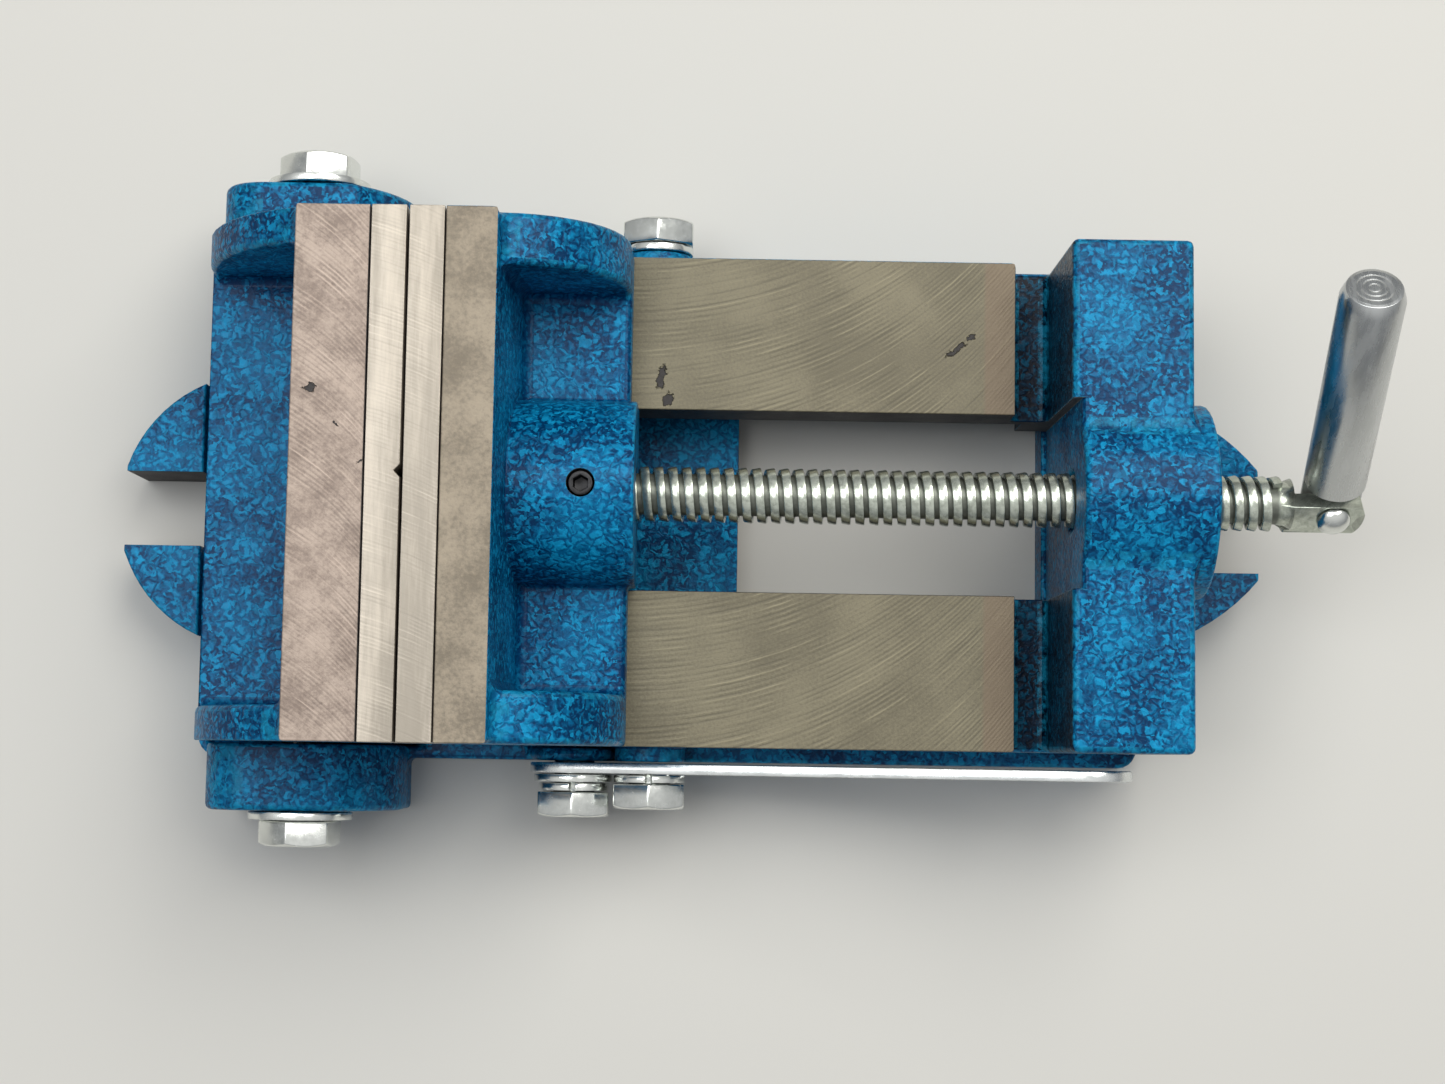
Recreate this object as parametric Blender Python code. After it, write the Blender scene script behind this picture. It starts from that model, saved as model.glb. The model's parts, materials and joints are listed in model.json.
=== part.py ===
"""Tilting drill press vise, built in metres with +Z up.

The lead screw runs along X with its handle at +X, Y is across the jaws, and the origin lies under the middle
of the base, on the surface that it stands on. Sizes are written in millimetres and turned into metres by MM.
"""

from math import acos, asin, atan2, cos, degrees, hypot, pi, radians, sin, sqrt

import bmesh
import bpy
from mathutils import Matrix, Vector

MM = 0.001

# Running and seating gaps
RUNNING_GAP = 0.3 * MM
SEAT_GAP = 0.2 * MM
SLIDE_GAP = 0.5 * MM
HOLE_GAP = 0.3 * MM
CUT_PAST = 3.0 * MM
MELT = 0.8 * MM

# Heights above the surface that the base stands on
BASE_FLOOR = 7.0 * MM
HINGE_FLOOR = 4.8 * MM
EAR_TOP = 14.0 * MM
LUG_TOP = 27.5 * MM
HINGE_Z = 20.0 * MM
BODY_BOTTOM = 7.5 * MM
BED_TOP = 25.0 * MM
JAW_TOP = 57.0 * MM
BLOCK_TOP = 43.4 * MM
RELIEF_FLOOR = 18.0 * MM
SCREW_Z = 32.5 * MM

# Places along X
HINGE_X = -60.0 * MM
BODY_BACK_X = -74.5 * MM
FIXED_WALL_X = -57.0 * MM
FIXED_FACE_X = -41.2 * MM
BED_END_X = 49.8 * MM
BLOCK_FACE_X = 55.8 * MM
BLOCK_BACK_X = 73.9 * MM
SLOT_END_X = 57.2 * MM
SLOT_START_X = -37.0 * MM
JAW_REST_GAP = 0.4 * MM

# Jaws
JAW_WIDTH = 76.2 * MM
PLATE_THICKNESS = 5.0 * MM
MOVING_TOP_THICKNESS = 7.4 * MM
MOVING_WALL_DRAFT = 2.0 * MM
MOVING_FOOT_LENGTH = 25.8 * MM
MOVING_FLOOR = 31.6 * MM
MOVING_CHEEK_THICKNESS = 7.6 * MM
MOVING_CHEEK_CROWN = 54.0 * MM
MOVING_CHEEK_SHOULDER = 34.5 * MM
FIXED_CHEEK_THICKNESS = 5.1 * MM
FIXED_CHEEK_DROP = 2.3 * MM
FIXED_CHEEK_BULGE = 4.5 * MM
FIXED_POCKET_FLOOR = 28.5 * MM
GROOVE_DEPTH = 0.9 * MM
PLATE_SCREW_Y = 23.0 * MM
PLATE_SCREW_Z = 43.0 * MM
PLATE_SCREW_RADIUS = 2.0 * MM
PLATE_SCREW_HEAD_RADIUS = 3.9 * MM
PLATE_SCREW_REACH = 9.0 * MM

# Ways, slot, tongue and keeper
SLOT_WIDTH = 28.2 * MM
REBATE_WIDTH = 39.0 * MM
REBATE_TOP = 15.1 * MM
REBATE_END_X = 52.0 * MM
TONGUE_INSET = 2.6 * MM
TONGUE_LENGTH = 21.0 * MM
KEEPER_THICKNESS = 3.2 * MM
KEEPER_WIDTH = 37.0 * MM
KEEPER_SCREW_RADIUS = 1.9 * MM
KEEPER_SCREW_HEAD_RADIUS = 3.4 * MM
KEEPER_SCREW_REACH = 6.0 * MM

# Bosses and lead screw
BLOCK_BOSS_RADIUS = 14.7 * MM
BLOCK_BOSS_END_X = 77.0 * MM
JAW_BOSS_RADIUS = 13.9 * MM
SCREW_RADIUS = 4.25 * MM
SCREW_TAIL_X = -26.0 * MM
THREAD_END_X = 88.2 * MM
NECK_RADIUS = 3.9 * MM
TONGUE_START_X = 90.3 * MM
RIVET_X = 96.6 * MM
RETAINING_GROOVE_RADIUS = 3.2 * MM
RETAINING_GROOVE_WIDTH = 3.6 * MM
SET_SCREW_X = -16.4 * MM
SET_SCREW_RADIUS = 1.8 * MM
SET_SCREW_SUNK = 0.7 * MM
SET_SCREW_TIP_RADIUS = 1.2 * MM
SOCKET_RADIUS = 1.05 * MM
SOCKET_DEPTH = 2.5 * MM

# Handle, which leans from the vertical towards +Y at rest
HANDLE_LEAN = radians(36.0)
HANDLE_FOLD = radians(4.4)
HANDLE_RADIUS = 4.6 * MM
HANDLE_LENGTH = 44.3 * MM
HANDLE_SHOULDER = 5.7 * MM
HANDLE_CHAMFER = 0.65 * MM
HANDLE_CHAMFER_LENGTH = 1.9 * MM
LAP_GAP = 0.15 * MM
SCREW_FLAT = 3.0 * MM
SCREW_CROWN_FLAT = 2.6 * MM
SCREW_TIP_RADIUS = 4.6 * MM
RIVET_RADIUS = 1.9 * MM
RIVET_HEAD_RADIUS = 2.6 * MM
RIVET_HEAD_HEIGHT = 1.6 * MM
RIVET_FOOT = 3.9 * MM

# Base
BASE_LEFT_X = -79.0 * MM
BASE_RIGHT_X = 72.0 * MM
BASE_PAD_STAND = 2.3 * MM
BASE_CORNER = 3.0 * MM
RAIL_WIDTH = 15.4 * MM
WINDOW_CORNER = 3.5 * MM
REAR_WINDOW_LEFT_X = -40.0 * MM
CROSSBAR_LEFT_X = -14.0 * MM
CROSSBAR_RIGHT_X = 7.2 * MM
FRONT_WINDOW_RIGHT_X = 56.5 * MM
EAR_TIP_X = 90.3 * MM
EAR_ROOT_HALF_WIDTH = 20.2 * MM
EAR_BULGE = 1.9 * MM
EAR_TIP_LAND = 1.0 * MM
EAR_OFFSET_Y = -1.4 * MM
EAR_SLOT_WIDTHS = {"left": 11.8 * MM, "right": 15.4 * MM}
EAR_SLOT_LENGTH = 20.0 * MM
LUG_THICKNESS = 10.2 * MM
LUG_LEFT_X = -74.5 * MM
LUG_RIGHT_X = -51.0 * MM
LUG_FOOT_X = -45.5 * MM
LUG_CORNER = 7.0 * MM
HINGE_RECESS_LEFT_X = -77.5 * MM
HINGE_RECESS_RIGHT_X = -43.0 * MM

# Quarter-inch hexagon bolts and their washers
BOLT_RADIUS = 3.175 * MM
BOLT_FLATS = 11.1 * MM
BOLT_HEAD = 3.9 * MM
BOLT_CHAMFER = 0.55 * MM
HINGE_BOLT_REACH = 10.0 * MM
HINGE_BOLT_TURN = radians(20.0)
LOCK_BOLT_TURN = radians(30.0)
LOCK_BOLT_REACH = 8.0 * MM
FLAT_WASHER_RADIUS = 8.0 * MM
PIVOT_WASHER_RADIUS = 6.4 * MM
LOCK_WASHER_RADIUS = 5.6 * MM
WASHER_THICKNESS = 1.2 * MM
SPRING_WASHER_SPLIT = 1.0 * MM

# Tilt strap on the -Y side
PIVOT_X = -18.3 * MM
PIVOT_Z = 11.0 * MM
LOCK_X = -6.3 * MM
LOCK_Z = 14.0 * MM
PIVOT_EAR_RADIUS = 6.5 * MM
LOCK_PAD_RADIUS = 5.5 * MM
STRAP_THICKNESS = 1.6 * MM
STRAP_WIDTH = 14.0 * MM
STRAP_REACH = 80.5 * MM
STRAP_SLOT_TRAVEL = 63.0 * MM
STRAP_SLOT_WIDTH = 6.95 * MM

# Roundness of turned and rounded shapes
TURN_STEPS = 40
SMALL_TURN_STEPS = 24
ARC_STEPS = 9

# Places that follow from the sizes above
HALF_JAW = JAW_WIDTH / 2
BASE_HALF_WIDTH = HALF_JAW + BASE_PAD_STAND
FIXED_CHEEK_CROWN = JAW_TOP - FIXED_CHEEK_DROP
HINGE_RADIUS = HINGE_X - BODY_BACK_X
FIXED_SEAT_X = FIXED_FACE_X - PLATE_THICKNESS - SEAT_GAP
MOVING_FACE_X = FIXED_FACE_X + JAW_REST_GAP
MOVING_SEAT_X = MOVING_FACE_X + PLATE_THICKNESS + SEAT_GAP
MOVING_BACK_X = MOVING_SEAT_X + MOVING_TOP_THICKNESS
MOVING_END_X = MOVING_SEAT_X + MOVING_FOOT_LENGTH
MOVING_UNDERSIDE = BED_TOP + RUNNING_GAP
TONGUE_BOTTOM = REBATE_TOP - SLIDE_GAP + SEAT_GAP
TONGUE_LEFT_X = MOVING_SEAT_X + TONGUE_INSET
BOLT_HOLE_RADIUS = BOLT_RADIUS + HOLE_GAP
PAD_FACE_Y = BASE_HALF_WIDTH
LUG_INNER_Y = HALF_JAW + RUNNING_GAP
LUG_OUTER_Y = LUG_INNER_Y + LUG_THICKNESS
STRAP_INNER_Y = BASE_HALF_WIDTH + RUNNING_GAP
STRAP_OUTER_Y = STRAP_INNER_Y + STRAP_THICKNESS
STRAP_ANGLE = atan2(LOCK_Z - PIVOT_Z, LOCK_X - PIVOT_X)
LOCK_DISTANCE = hypot(LOCK_Z - PIVOT_Z, LOCK_X - PIVOT_X)
SCREW_BORE_RADIUS = SCREW_RADIUS + HOLE_GAP
X_AXIS = Vector((1, 0, 0))
Y_AXIS = Vector((0, 1, 0))
Z_AXIS = Vector((0, 0, 1))


def clear_scene():
    """Empties the file that the script runs in."""
    for item in list(bpy.data.objects):
        bpy.data.objects.remove(item, do_unlink=True)


def arc_points(centre, radius, start, end, steps=ARC_STEPS):
    """Points on an arc from one angle to another, both in degrees."""
    angles = [radians(start + (end - start) * step / steps) for step in range(steps + 1)]
    return [(centre[0] + radius * cos(angle), centre[1] + radius * sin(angle)) for angle in angles]


def bulged_points(start, end, bulge, steps=ARC_STEPS):
    """Points on the shallow arc between two points that stands out by the bulge, to the left of the way there."""
    chord = Vector(end) - Vector(start)
    radius = chord.length**2 / (8 * bulge) + bulge / 2
    middle = (Vector(start) + Vector(end)) / 2
    out = Vector((-chord.y, chord.x)).normalized()
    centre = middle - out * (radius - bulge)
    half = degrees(asin(chord.length / 2 / radius))
    facing = degrees(atan2(out.y, out.x))
    return arc_points(centre, radius, facing + half, facing - half, steps)


def rounded_rectangle(left, right, low, high, radius):
    """The outline of a rectangle whose corners are rounded."""
    corners = (
        ((right - radius, low + radius), -90),
        ((right - radius, high - radius), 0),
        ((left + radius, high - radius), 90),
        ((left + radius, low + radius), 180),
    )
    points = []
    for centre, start in corners:
        points += arc_points(centre, radius, start, start + 90, steps=5)
    return points


def new_object(name, mesh_builder, material=None):
    """Links a mesh object made from a bmesh, with its faces turned outwards."""
    bmesh.ops.recalc_face_normals(mesh_builder, faces=mesh_builder.faces)
    mesh = bpy.data.meshes.new(name)
    mesh_builder.to_mesh(mesh)
    mesh_builder.free()
    made = bpy.data.objects.new(name, mesh)
    bpy.context.scene.collection.objects.link(made)
    if material:
        mesh.materials.append(material)
    return made


def prism(outline, direction, low, high, name="prism"):
    """Extrudes a closed outline from low to high along X, Y or Z.

    The outline's two coordinates are the remaining axes in alphabetical order.
    """
    places = {
        "x": lambda point, depth: (depth, point[0], point[1]),
        "y": lambda point, depth: (point[0], depth, point[1]),
        "z": lambda point, depth: (point[0], point[1], depth),
    }
    builder = bmesh.new()
    rings = [[builder.verts.new(places[direction](point, depth)) for point in outline] for depth in (low, high)]
    builder.faces.new(rings[0])
    builder.faces.new(reversed(rings[1]))
    for here in range(len(outline)):
        after = (here + 1) % len(outline)
        builder.faces.new((rings[0][here], rings[1][here], rings[1][after], rings[0][after]))
    return new_object(name, builder)


def block(x_range, y_range, z_range, name="block"):
    """A plain box between three pairs of limits."""
    outline = [(x, y) for x, y in zip((x_range[0], x_range[1], x_range[1], x_range[0]), sorted(y_range * 2))]
    return prism(outline, "z", z_range[0], z_range[1], name)


def turned(profile, axis, origin, steps=TURN_STEPS, name="turned"):
    """Turns a profile of (distance along the axis, radius) points round the axis through the origin."""
    across = Z_AXIS if abs(axis.dot(Z_AXIS)) < 0.9 else X_AXIS
    side = axis.cross(across).normalized()
    other = axis.cross(side).normalized()
    builder = bmesh.new()
    rings = []
    for along, radius in profile:
        centre = origin + axis * along
        if radius == 0:
            rings.append([builder.verts.new(centre)])
            continue
        angles = [2 * pi * step / steps for step in range(steps)]
        rings.append([builder.verts.new(centre + (side * cos(a) + other * sin(a)) * radius) for a in angles])
    for first, second in zip(rings, rings[1:]):
        for here in range(steps):
            after = (here + 1) % steps
            if len(first) == 1:
                builder.faces.new((first[0], second[here], second[after]))
            elif len(second) == 1:
                builder.faces.new((first[here], second[0], first[after]))
            else:
                builder.faces.new((first[here], second[here], second[after], first[after]))
    for ring in (rings[0], rings[-1]):
        if len(ring) > 1:
            builder.faces.new(ring)
    return new_object(name, builder)


def cylinder(axis, origin, low, high, radius, steps=TURN_STEPS):
    """A plain cylinder between two distances along its axis."""
    return turned([(low, radius), (high, radius)], axis, origin, steps)


def boolean(target, tool, operation):
    """Joins, cuts or intersects the target with a tool, and removes the tool."""
    modifier = target.modifiers.new(operation.lower(), "BOOLEAN")
    modifier.operation = operation
    modifier.solver = "EXACT"
    modifier.object = tool
    bpy.context.view_layer.update()
    graph = bpy.context.evaluated_depsgraph_get()
    mesh = bpy.data.meshes.new_from_object(target.evaluated_get(graph))
    target.modifiers.clear()
    target.data = mesh
    bpy.data.objects.remove(tool, do_unlink=True)
    return target


def join(target, *tools):
    """Makes one solid of the target and the tools."""
    for tool in tools:
        boolean(target, tool, "UNION")
    return target


def cut(target, *tools):
    """Takes the tools away from the target."""
    for tool in tools:
        boolean(target, tool, "DIFFERENCE")
    return target


def place(item, matrix):
    """Moves an object's mesh by a matrix and leaves its own transform alone."""
    item.data.transform(matrix)
    item.data.update()
    return item


def finished(item, name, material):
    """Names a finished piece, gives it its material and shades its round faces smooth."""
    item.name = name
    item.data.name = name
    item.data.materials.clear()
    item.data.materials.append(material)
    item.data.shade_smooth()
    item.data.set_sharp_from_angle(angle=radians(35))
    return item


def finish_material(name, colour, roughness, metallic):
    """A plain surface with the piece's colour, roughness and metallic value."""
    material = bpy.data.materials.new(name)
    material.use_nodes = True
    shader = material.node_tree.nodes["Principled BSDF"]
    shader.inputs["Base Color"].default_value = (*colour, 1)
    shader.inputs["Roughness"].default_value = roughness
    shader.inputs["Metallic"].default_value = metallic
    return material


def point(x, z, y=0.0):
    """A point given by its place in the side view."""
    return Vector((x, y, z))


def ear_outline(side, slot_width):
    """Ear for the end of the base at side -1 or 1: two prongs that curve in to the mouth of the slot."""
    root = (BASE_RIGHT_X if side > 0 else -BASE_LEFT_X) - MELT
    tip = (EAR_TIP_X, slot_width / 2 + EAR_TIP_LAND)
    upper = bulged_points((root, EAR_ROOT_HALF_WIDTH), tip, EAR_BULGE)
    lower = [(x, -y) for x, y in reversed(upper)]
    return [(side * x, y + EAR_OFFSET_Y) for x, y in upper + lower]


def ear_slot_outline(side, width):
    """The open slot of an ear, with a round inner end."""
    half = width / 2
    inner = arc_points((EAR_TIP_X - EAR_SLOT_LENGTH + half, 0), half, 90, 270, steps=12)
    outer = [(EAR_TIP_X + CUT_PAST, -half), (EAR_TIP_X + CUT_PAST, half)]
    return [(side * x, y + EAR_OFFSET_Y) for x, y in inner + outer]


def lug_outline():
    """Side view of a hinge lug, which stands upright behind the bolt and slopes away before it."""
    centre = (LUG_LEFT_X + LUG_CORNER, LUG_TOP - LUG_CORNER)
    front = bulged_points((LUG_RIGHT_X - LUG_CORNER / 2, LUG_TOP), (LUG_FOOT_X, BASE_FLOOR - MELT), LUG_CORNER / 2)
    return [(LUG_LEFT_X, 0)] + arc_points(centre, LUG_CORNER, 180, 90) + front + [(LUG_FOOT_X, 0)]


def make_base(material):
    """The base casting: a frame with two windows, slotted ears, hinge lugs and an ear for the strap."""
    outline = rounded_rectangle(BASE_LEFT_X, BASE_RIGHT_X, -BASE_HALF_WIDTH, BASE_HALF_WIDTH, BASE_CORNER)
    base = prism(outline, "z", 0, BASE_FLOOR)
    for side, end in ((-1, "left"), (1, "right")):
        join(base, prism(ear_outline(side, EAR_SLOT_WIDTHS[end]), "z", 0, EAR_TOP))
        slot = ear_slot_outline(side, EAR_SLOT_WIDTHS[end])
        cut(base, prism(slot, "z", -CUT_PAST, EAR_TOP + CUT_PAST))
    window_half = BASE_HALF_WIDTH - RAIL_WIDTH
    for left, right in ((REAR_WINDOW_LEFT_X, CROSSBAR_LEFT_X), (CROSSBAR_RIGHT_X, FRONT_WINDOW_RIGHT_X)):
        window = rounded_rectangle(left, right, -window_half, window_half, WINDOW_CORNER)
        cut(base, prism(window, "z", -CUT_PAST, BASE_FLOOR + CUT_PAST))
    across = (-LUG_INNER_Y, LUG_INNER_Y)
    cut(base, block((HINGE_RECESS_LEFT_X, HINGE_RECESS_RIGHT_X), across, (HINGE_FLOOR, LUG_TOP)))
    cut(base, block((HINGE_X, BLOCK_BACK_X + RUNNING_GAP), across, (BASE_FLOOR, LUG_TOP)))
    for side in (-1, 1):
        faces = sorted((side * LUG_INNER_Y, side * LUG_OUTER_Y))
        lug = prism(lug_outline(), "y", *faces)
        hole = cylinder(Y_AXIS, point(HINGE_X, HINGE_Z), faces[0] - CUT_PAST, faces[1] + CUT_PAST, BOLT_HOLE_RADIUS)
        join(base, cut(lug, hole))
    ear = [(PIVOT_X - PIVOT_EAR_RADIUS - 2 * MM, 1 * MM)]
    ear += arc_points((PIVOT_X, PIVOT_Z), PIVOT_EAR_RADIUS, 180, 0, steps=14)
    ear += [(PIVOT_X + PIVOT_EAR_RADIUS + 2 * MM, 1 * MM)]
    join(base, prism(ear, "y", -BASE_HALF_WIDTH, -LUG_INNER_Y))
    pivot = point(PIVOT_X, PIVOT_Z)
    deep = HALF_JAW - LOCK_BOLT_REACH
    cut(base, cylinder(Y_AXIS, pivot, -BASE_HALF_WIDTH - CUT_PAST, -deep, BOLT_HOLE_RADIUS, SMALL_TURN_STEPS))
    return finished(base, "base", material)


def body_outline():
    """Side view of the body casting: hinge end, fixed jaw, bed, relief and rear block."""
    hinge_meets_underside = acos((HINGE_Z - BODY_BOTTOM) / HINGE_RADIUS)
    start = -90 + degrees(hinge_meets_underside)
    points = arc_points((HINGE_X, HINGE_Z), HINGE_RADIUS, start, -180, steps=16)
    points += [(BODY_BACK_X, FIXED_POCKET_FLOOR), (FIXED_WALL_X, FIXED_POCKET_FLOOR), (FIXED_WALL_X, JAW_TOP)]
    points += [(FIXED_SEAT_X, JAW_TOP), (FIXED_SEAT_X, BED_TOP), (BED_END_X, BED_TOP), (BED_END_X, RELIEF_FLOOR)]
    points += [(BLOCK_FACE_X, RELIEF_FLOOR), (BLOCK_FACE_X, BLOCK_TOP), (BLOCK_BACK_X, BLOCK_TOP)]
    return points + [(BLOCK_BACK_X, BODY_BOTTOM)]


def fixed_cheek_outline():
    """Side view of a cheek behind the fixed jaw."""
    crest = bulged_points((BODY_BACK_X, FIXED_POCKET_FLOOR), (FIXED_WALL_X, FIXED_CHEEK_CROWN), FIXED_CHEEK_BULGE)
    return crest + [(FIXED_WALL_X + MELT, FIXED_CHEEK_CROWN), (FIXED_WALL_X + MELT, HINGE_Z), (BODY_BACK_X, HINGE_Z)]


def make_vise_body(material):
    """The body casting: the fixed jaw, the two ways and the rear block that the screw runs through."""
    body = prism(body_outline(), "y", -HALF_JAW, HALF_JAW)
    for side in (-1, 1):
        faces = sorted((side * (HALF_JAW - FIXED_CHEEK_THICKNESS), side * HALF_JAW))
        join(body, prism(fixed_cheek_outline(), "y", *faces))
    screw_line = point(0, SCREW_Z)
    join(body, cylinder(X_AXIS, screw_line, SLOT_END_X, BLOCK_BOSS_END_X, BLOCK_BOSS_RADIUS))
    half_slot = SLOT_WIDTH / 2
    cut(body, block((SLOT_START_X, SLOT_END_X), (-half_slot, half_slot), (0, JAW_TOP)))
    half_rebate = REBATE_WIDTH / 2
    cut(body, block((SLOT_START_X - CUT_PAST, REBATE_END_X), (-half_rebate, half_rebate), (0, REBATE_TOP)))
    cut(body, cylinder(X_AXIS, screw_line, BLOCK_FACE_X - CUT_PAST, BLOCK_BOSS_END_X + CUT_PAST, SCREW_BORE_RADIUS))
    for side in (-1, 1):
        pad_faces = sorted((side * (HALF_JAW - MELT), side * PAD_FACE_Y))
        join(body, cylinder(Y_AXIS, point(LOCK_X, LOCK_Z), *pad_faces, LOCK_PAD_RADIUS, SMALL_TURN_STEPS))
        deep = HALF_JAW - LOCK_BOLT_REACH
        lock_hole = sorted((side * deep, side * (PAD_FACE_Y + CUT_PAST)))
        cut(body, cylinder(Y_AXIS, point(LOCK_X, LOCK_Z), *lock_hole, BOLT_HOLE_RADIUS, SMALL_TURN_STEPS))
        deep = HALF_JAW - HINGE_BOLT_REACH
        hinge_hole = sorted((side * deep, side * (HALF_JAW + CUT_PAST)))
        cut(body, cylinder(Y_AXIS, point(HINGE_X, HINGE_Z), *hinge_hole, BOLT_HOLE_RADIUS, SMALL_TURN_STEPS))
        seat = point(FIXED_SEAT_X, PLATE_SCREW_Z, side * PLATE_SCREW_Y)
        radius = PLATE_SCREW_RADIUS + HOLE_GAP
        cut(body, cylinder(X_AXIS, seat, -PLATE_SCREW_REACH, CUT_PAST, radius, SMALL_TURN_STEPS))
    return finished(body, "vise_body", material)


def moving_profile():
    """Side view of the moving jaw's wall and foot."""
    points = [(MOVING_SEAT_X, MOVING_UNDERSIDE), (MOVING_SEAT_X, JAW_TOP), (MOVING_BACK_X, JAW_TOP)]
    points += [(MOVING_BACK_X + MOVING_WALL_DRAFT, MOVING_FLOOR), (MOVING_END_X, MOVING_FLOOR)]
    return points + [(MOVING_END_X, MOVING_UNDERSIDE)]


def moving_cheek_outline():
    """Side view of a cheek of the moving jaw, a quarter of an ellipse above an upright end."""
    wide = MOVING_END_X - MOVING_BACK_X
    high = MOVING_CHEEK_CROWN - MOVING_CHEEK_SHOULDER
    points = [(MOVING_END_X, MOVING_UNDERSIDE)]
    for step in range(ARC_STEPS + 2):
        angle = pi / 2 * step / (ARC_STEPS + 1)
        points.append((MOVING_BACK_X + wide * cos(angle), MOVING_CHEEK_SHOULDER + high * sin(angle)))
    return points + [(MOVING_BACK_X - MELT, MOVING_CHEEK_CROWN), (MOVING_BACK_X - MELT, MOVING_UNDERSIDE)]


def make_moving_jaw(material):
    """The moving jaw casting with its cheeks, its screw boss and the tongue that runs between the ways."""
    jaw = prism(moving_profile(), "y", -HALF_JAW, HALF_JAW)
    for side in (-1, 1):
        faces = sorted((side * (HALF_JAW - MOVING_CHEEK_THICKNESS), side * HALF_JAW))
        join(jaw, prism(moving_cheek_outline(), "y", *faces))
    arch = [(-JAW_BOSS_RADIUS, MOVING_UNDERSIDE), (JAW_BOSS_RADIUS, MOVING_UNDERSIDE)]
    arch += arc_points((0, SCREW_Z), JAW_BOSS_RADIUS, 0, 180, steps=20)
    join(jaw, prism(arch, "x", MOVING_BACK_X - MELT, MOVING_END_X + 1.2 * MM))
    half_tongue = SLOT_WIDTH / 2 - RUNNING_GAP
    tongue = ((TONGUE_LEFT_X, TONGUE_LEFT_X + TONGUE_LENGTH), (-half_tongue, half_tongue))
    join(jaw, block(*tongue, (TONGUE_BOTTOM, MOVING_UNDERSIDE + MELT)))
    screw_line = point(0, SCREW_Z)
    cut(jaw, cylinder(X_AXIS, screw_line, SCREW_TAIL_X - SLIDE_GAP, MOVING_END_X + CUT_PAST, SCREW_BORE_RADIUS))
    hole_top = SCREW_Z + JAW_BOSS_RADIUS + CUT_PAST
    set_hole = SET_SCREW_RADIUS + HOLE_GAP
    cut(jaw, cylinder(Z_AXIS, point(SET_SCREW_X, 0), SCREW_Z, hole_top, set_hole, SMALL_TURN_STEPS))
    for side in (-1, 1):
        seat = point(MOVING_SEAT_X, PLATE_SCREW_Z, side * PLATE_SCREW_Y)
        radius = PLATE_SCREW_RADIUS + HOLE_GAP
        deep = MOVING_TOP_THICKNESS - 1.5 * MM
        cut(jaw, cylinder(X_AXIS, seat, -CUT_PAST, deep, radius, SMALL_TURN_STEPS))
    for x in keeper_screw_places():
        top = TONGUE_BOTTOM + KEEPER_SCREW_REACH
        radius = KEEPER_SCREW_RADIUS + HOLE_GAP
        cut(jaw, cylinder(Z_AXIS, point(x, 0), TONGUE_BOTTOM - CUT_PAST, top, radius, SMALL_TURN_STEPS))
    return finished(jaw, "moving_jaw", material)


def keeper_screw_places():
    """Places along X of the two screws that hold the keeper plate to the tongue."""
    return (TONGUE_LEFT_X + TONGUE_LENGTH / 4, TONGUE_LEFT_X + TONGUE_LENGTH * 3 / 4)


def countersunk(axis, seat, reach, radius, head_radius, extra=0.0):
    """A countersunk shape that starts at its flat head and points along the axis; extra widens it."""
    cone = head_radius - radius
    profile = [(-extra, head_radius + 2 * extra), (cone + extra, radius + extra), (reach, radius + extra)]
    return turned(profile, axis, seat, SMALL_TURN_STEPS)


def make_jaw_plate(name, face_x, side, grooved, material):
    """A ground jaw plate with its face at face_x and its back towards side, and two countersunk holes."""
    faces = sorted((face_x, face_x + side * PLATE_THICKNESS))
    plate = block(faces, (-HALF_JAW, HALF_JAW), (MOVING_UNDERSIDE, JAW_TOP))
    for hand in (-1, 1):
        seat = point(face_x, PLATE_SCREW_Z, hand * PLATE_SCREW_Y)
        reach = PLATE_THICKNESS + CUT_PAST
        cut(plate, countersunk(X_AXIS * side, seat, reach, PLATE_SCREW_RADIUS, PLATE_SCREW_HEAD_RADIUS, HOLE_GAP))
    if grooved:
        half = GROOVE_DEPTH
        groove = [(face_x - side * half, -2 * half), (face_x + side * half, 0), (face_x - side * half, 2 * half)]
        cut(plate, prism(groove, "z", MOVING_UNDERSIDE - CUT_PAST, JAW_TOP + CUT_PAST))
    return finished(plate, name, material)


def make_plate_screw(name, face_x, side, hand, reach, material):
    """A countersunk socket screw that holds a jaw plate to its casting."""
    sunk = point(face_x + side * SEAT_GAP, PLATE_SCREW_Z, hand * PLATE_SCREW_Y)
    screw = countersunk(X_AXIS * side, sunk, reach, PLATE_SCREW_RADIUS, PLATE_SCREW_HEAD_RADIUS)
    cut(screw, hex_prism(X_AXIS * side, sunk, -CUT_PAST, SOCKET_DEPTH, SOCKET_RADIUS * 2, 0))
    return finished(screw, name, material)


def hex_prism(axis, origin, low, high, flats, turn):
    """A hexagon of a size across its flats, turned about its axis."""
    shape = cylinder(axis, Vector(), low, high, flats / sqrt(3), steps=6)
    return place(shape, Matrix.Translation(origin) @ Matrix.Rotation(turn, 4, axis))


def make_hex_bolt(name, axis, seat, reach, turn, material):
    """A hexagon bolt whose head bears at the seat, with its head along the axis and its shank against it."""
    head = hex_prism(axis, seat, 0, BOLT_HEAD, BOLT_FLATS, turn)
    corner = BOLT_FLATS / sqrt(3)
    profile = [(0, corner + MELT), (BOLT_HEAD - BOLT_CHAMFER, corner + MELT / 8)]
    profile += [(BOLT_HEAD, BOLT_FLATS / 2 - BOLT_CHAMFER / 2)]
    boolean(head, turned(profile, axis, seat), "INTERSECT")
    join(head, cylinder(axis, seat, -reach, MELT, BOLT_RADIUS, SMALL_TURN_STEPS))
    return finished(head, name, material)


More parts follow.
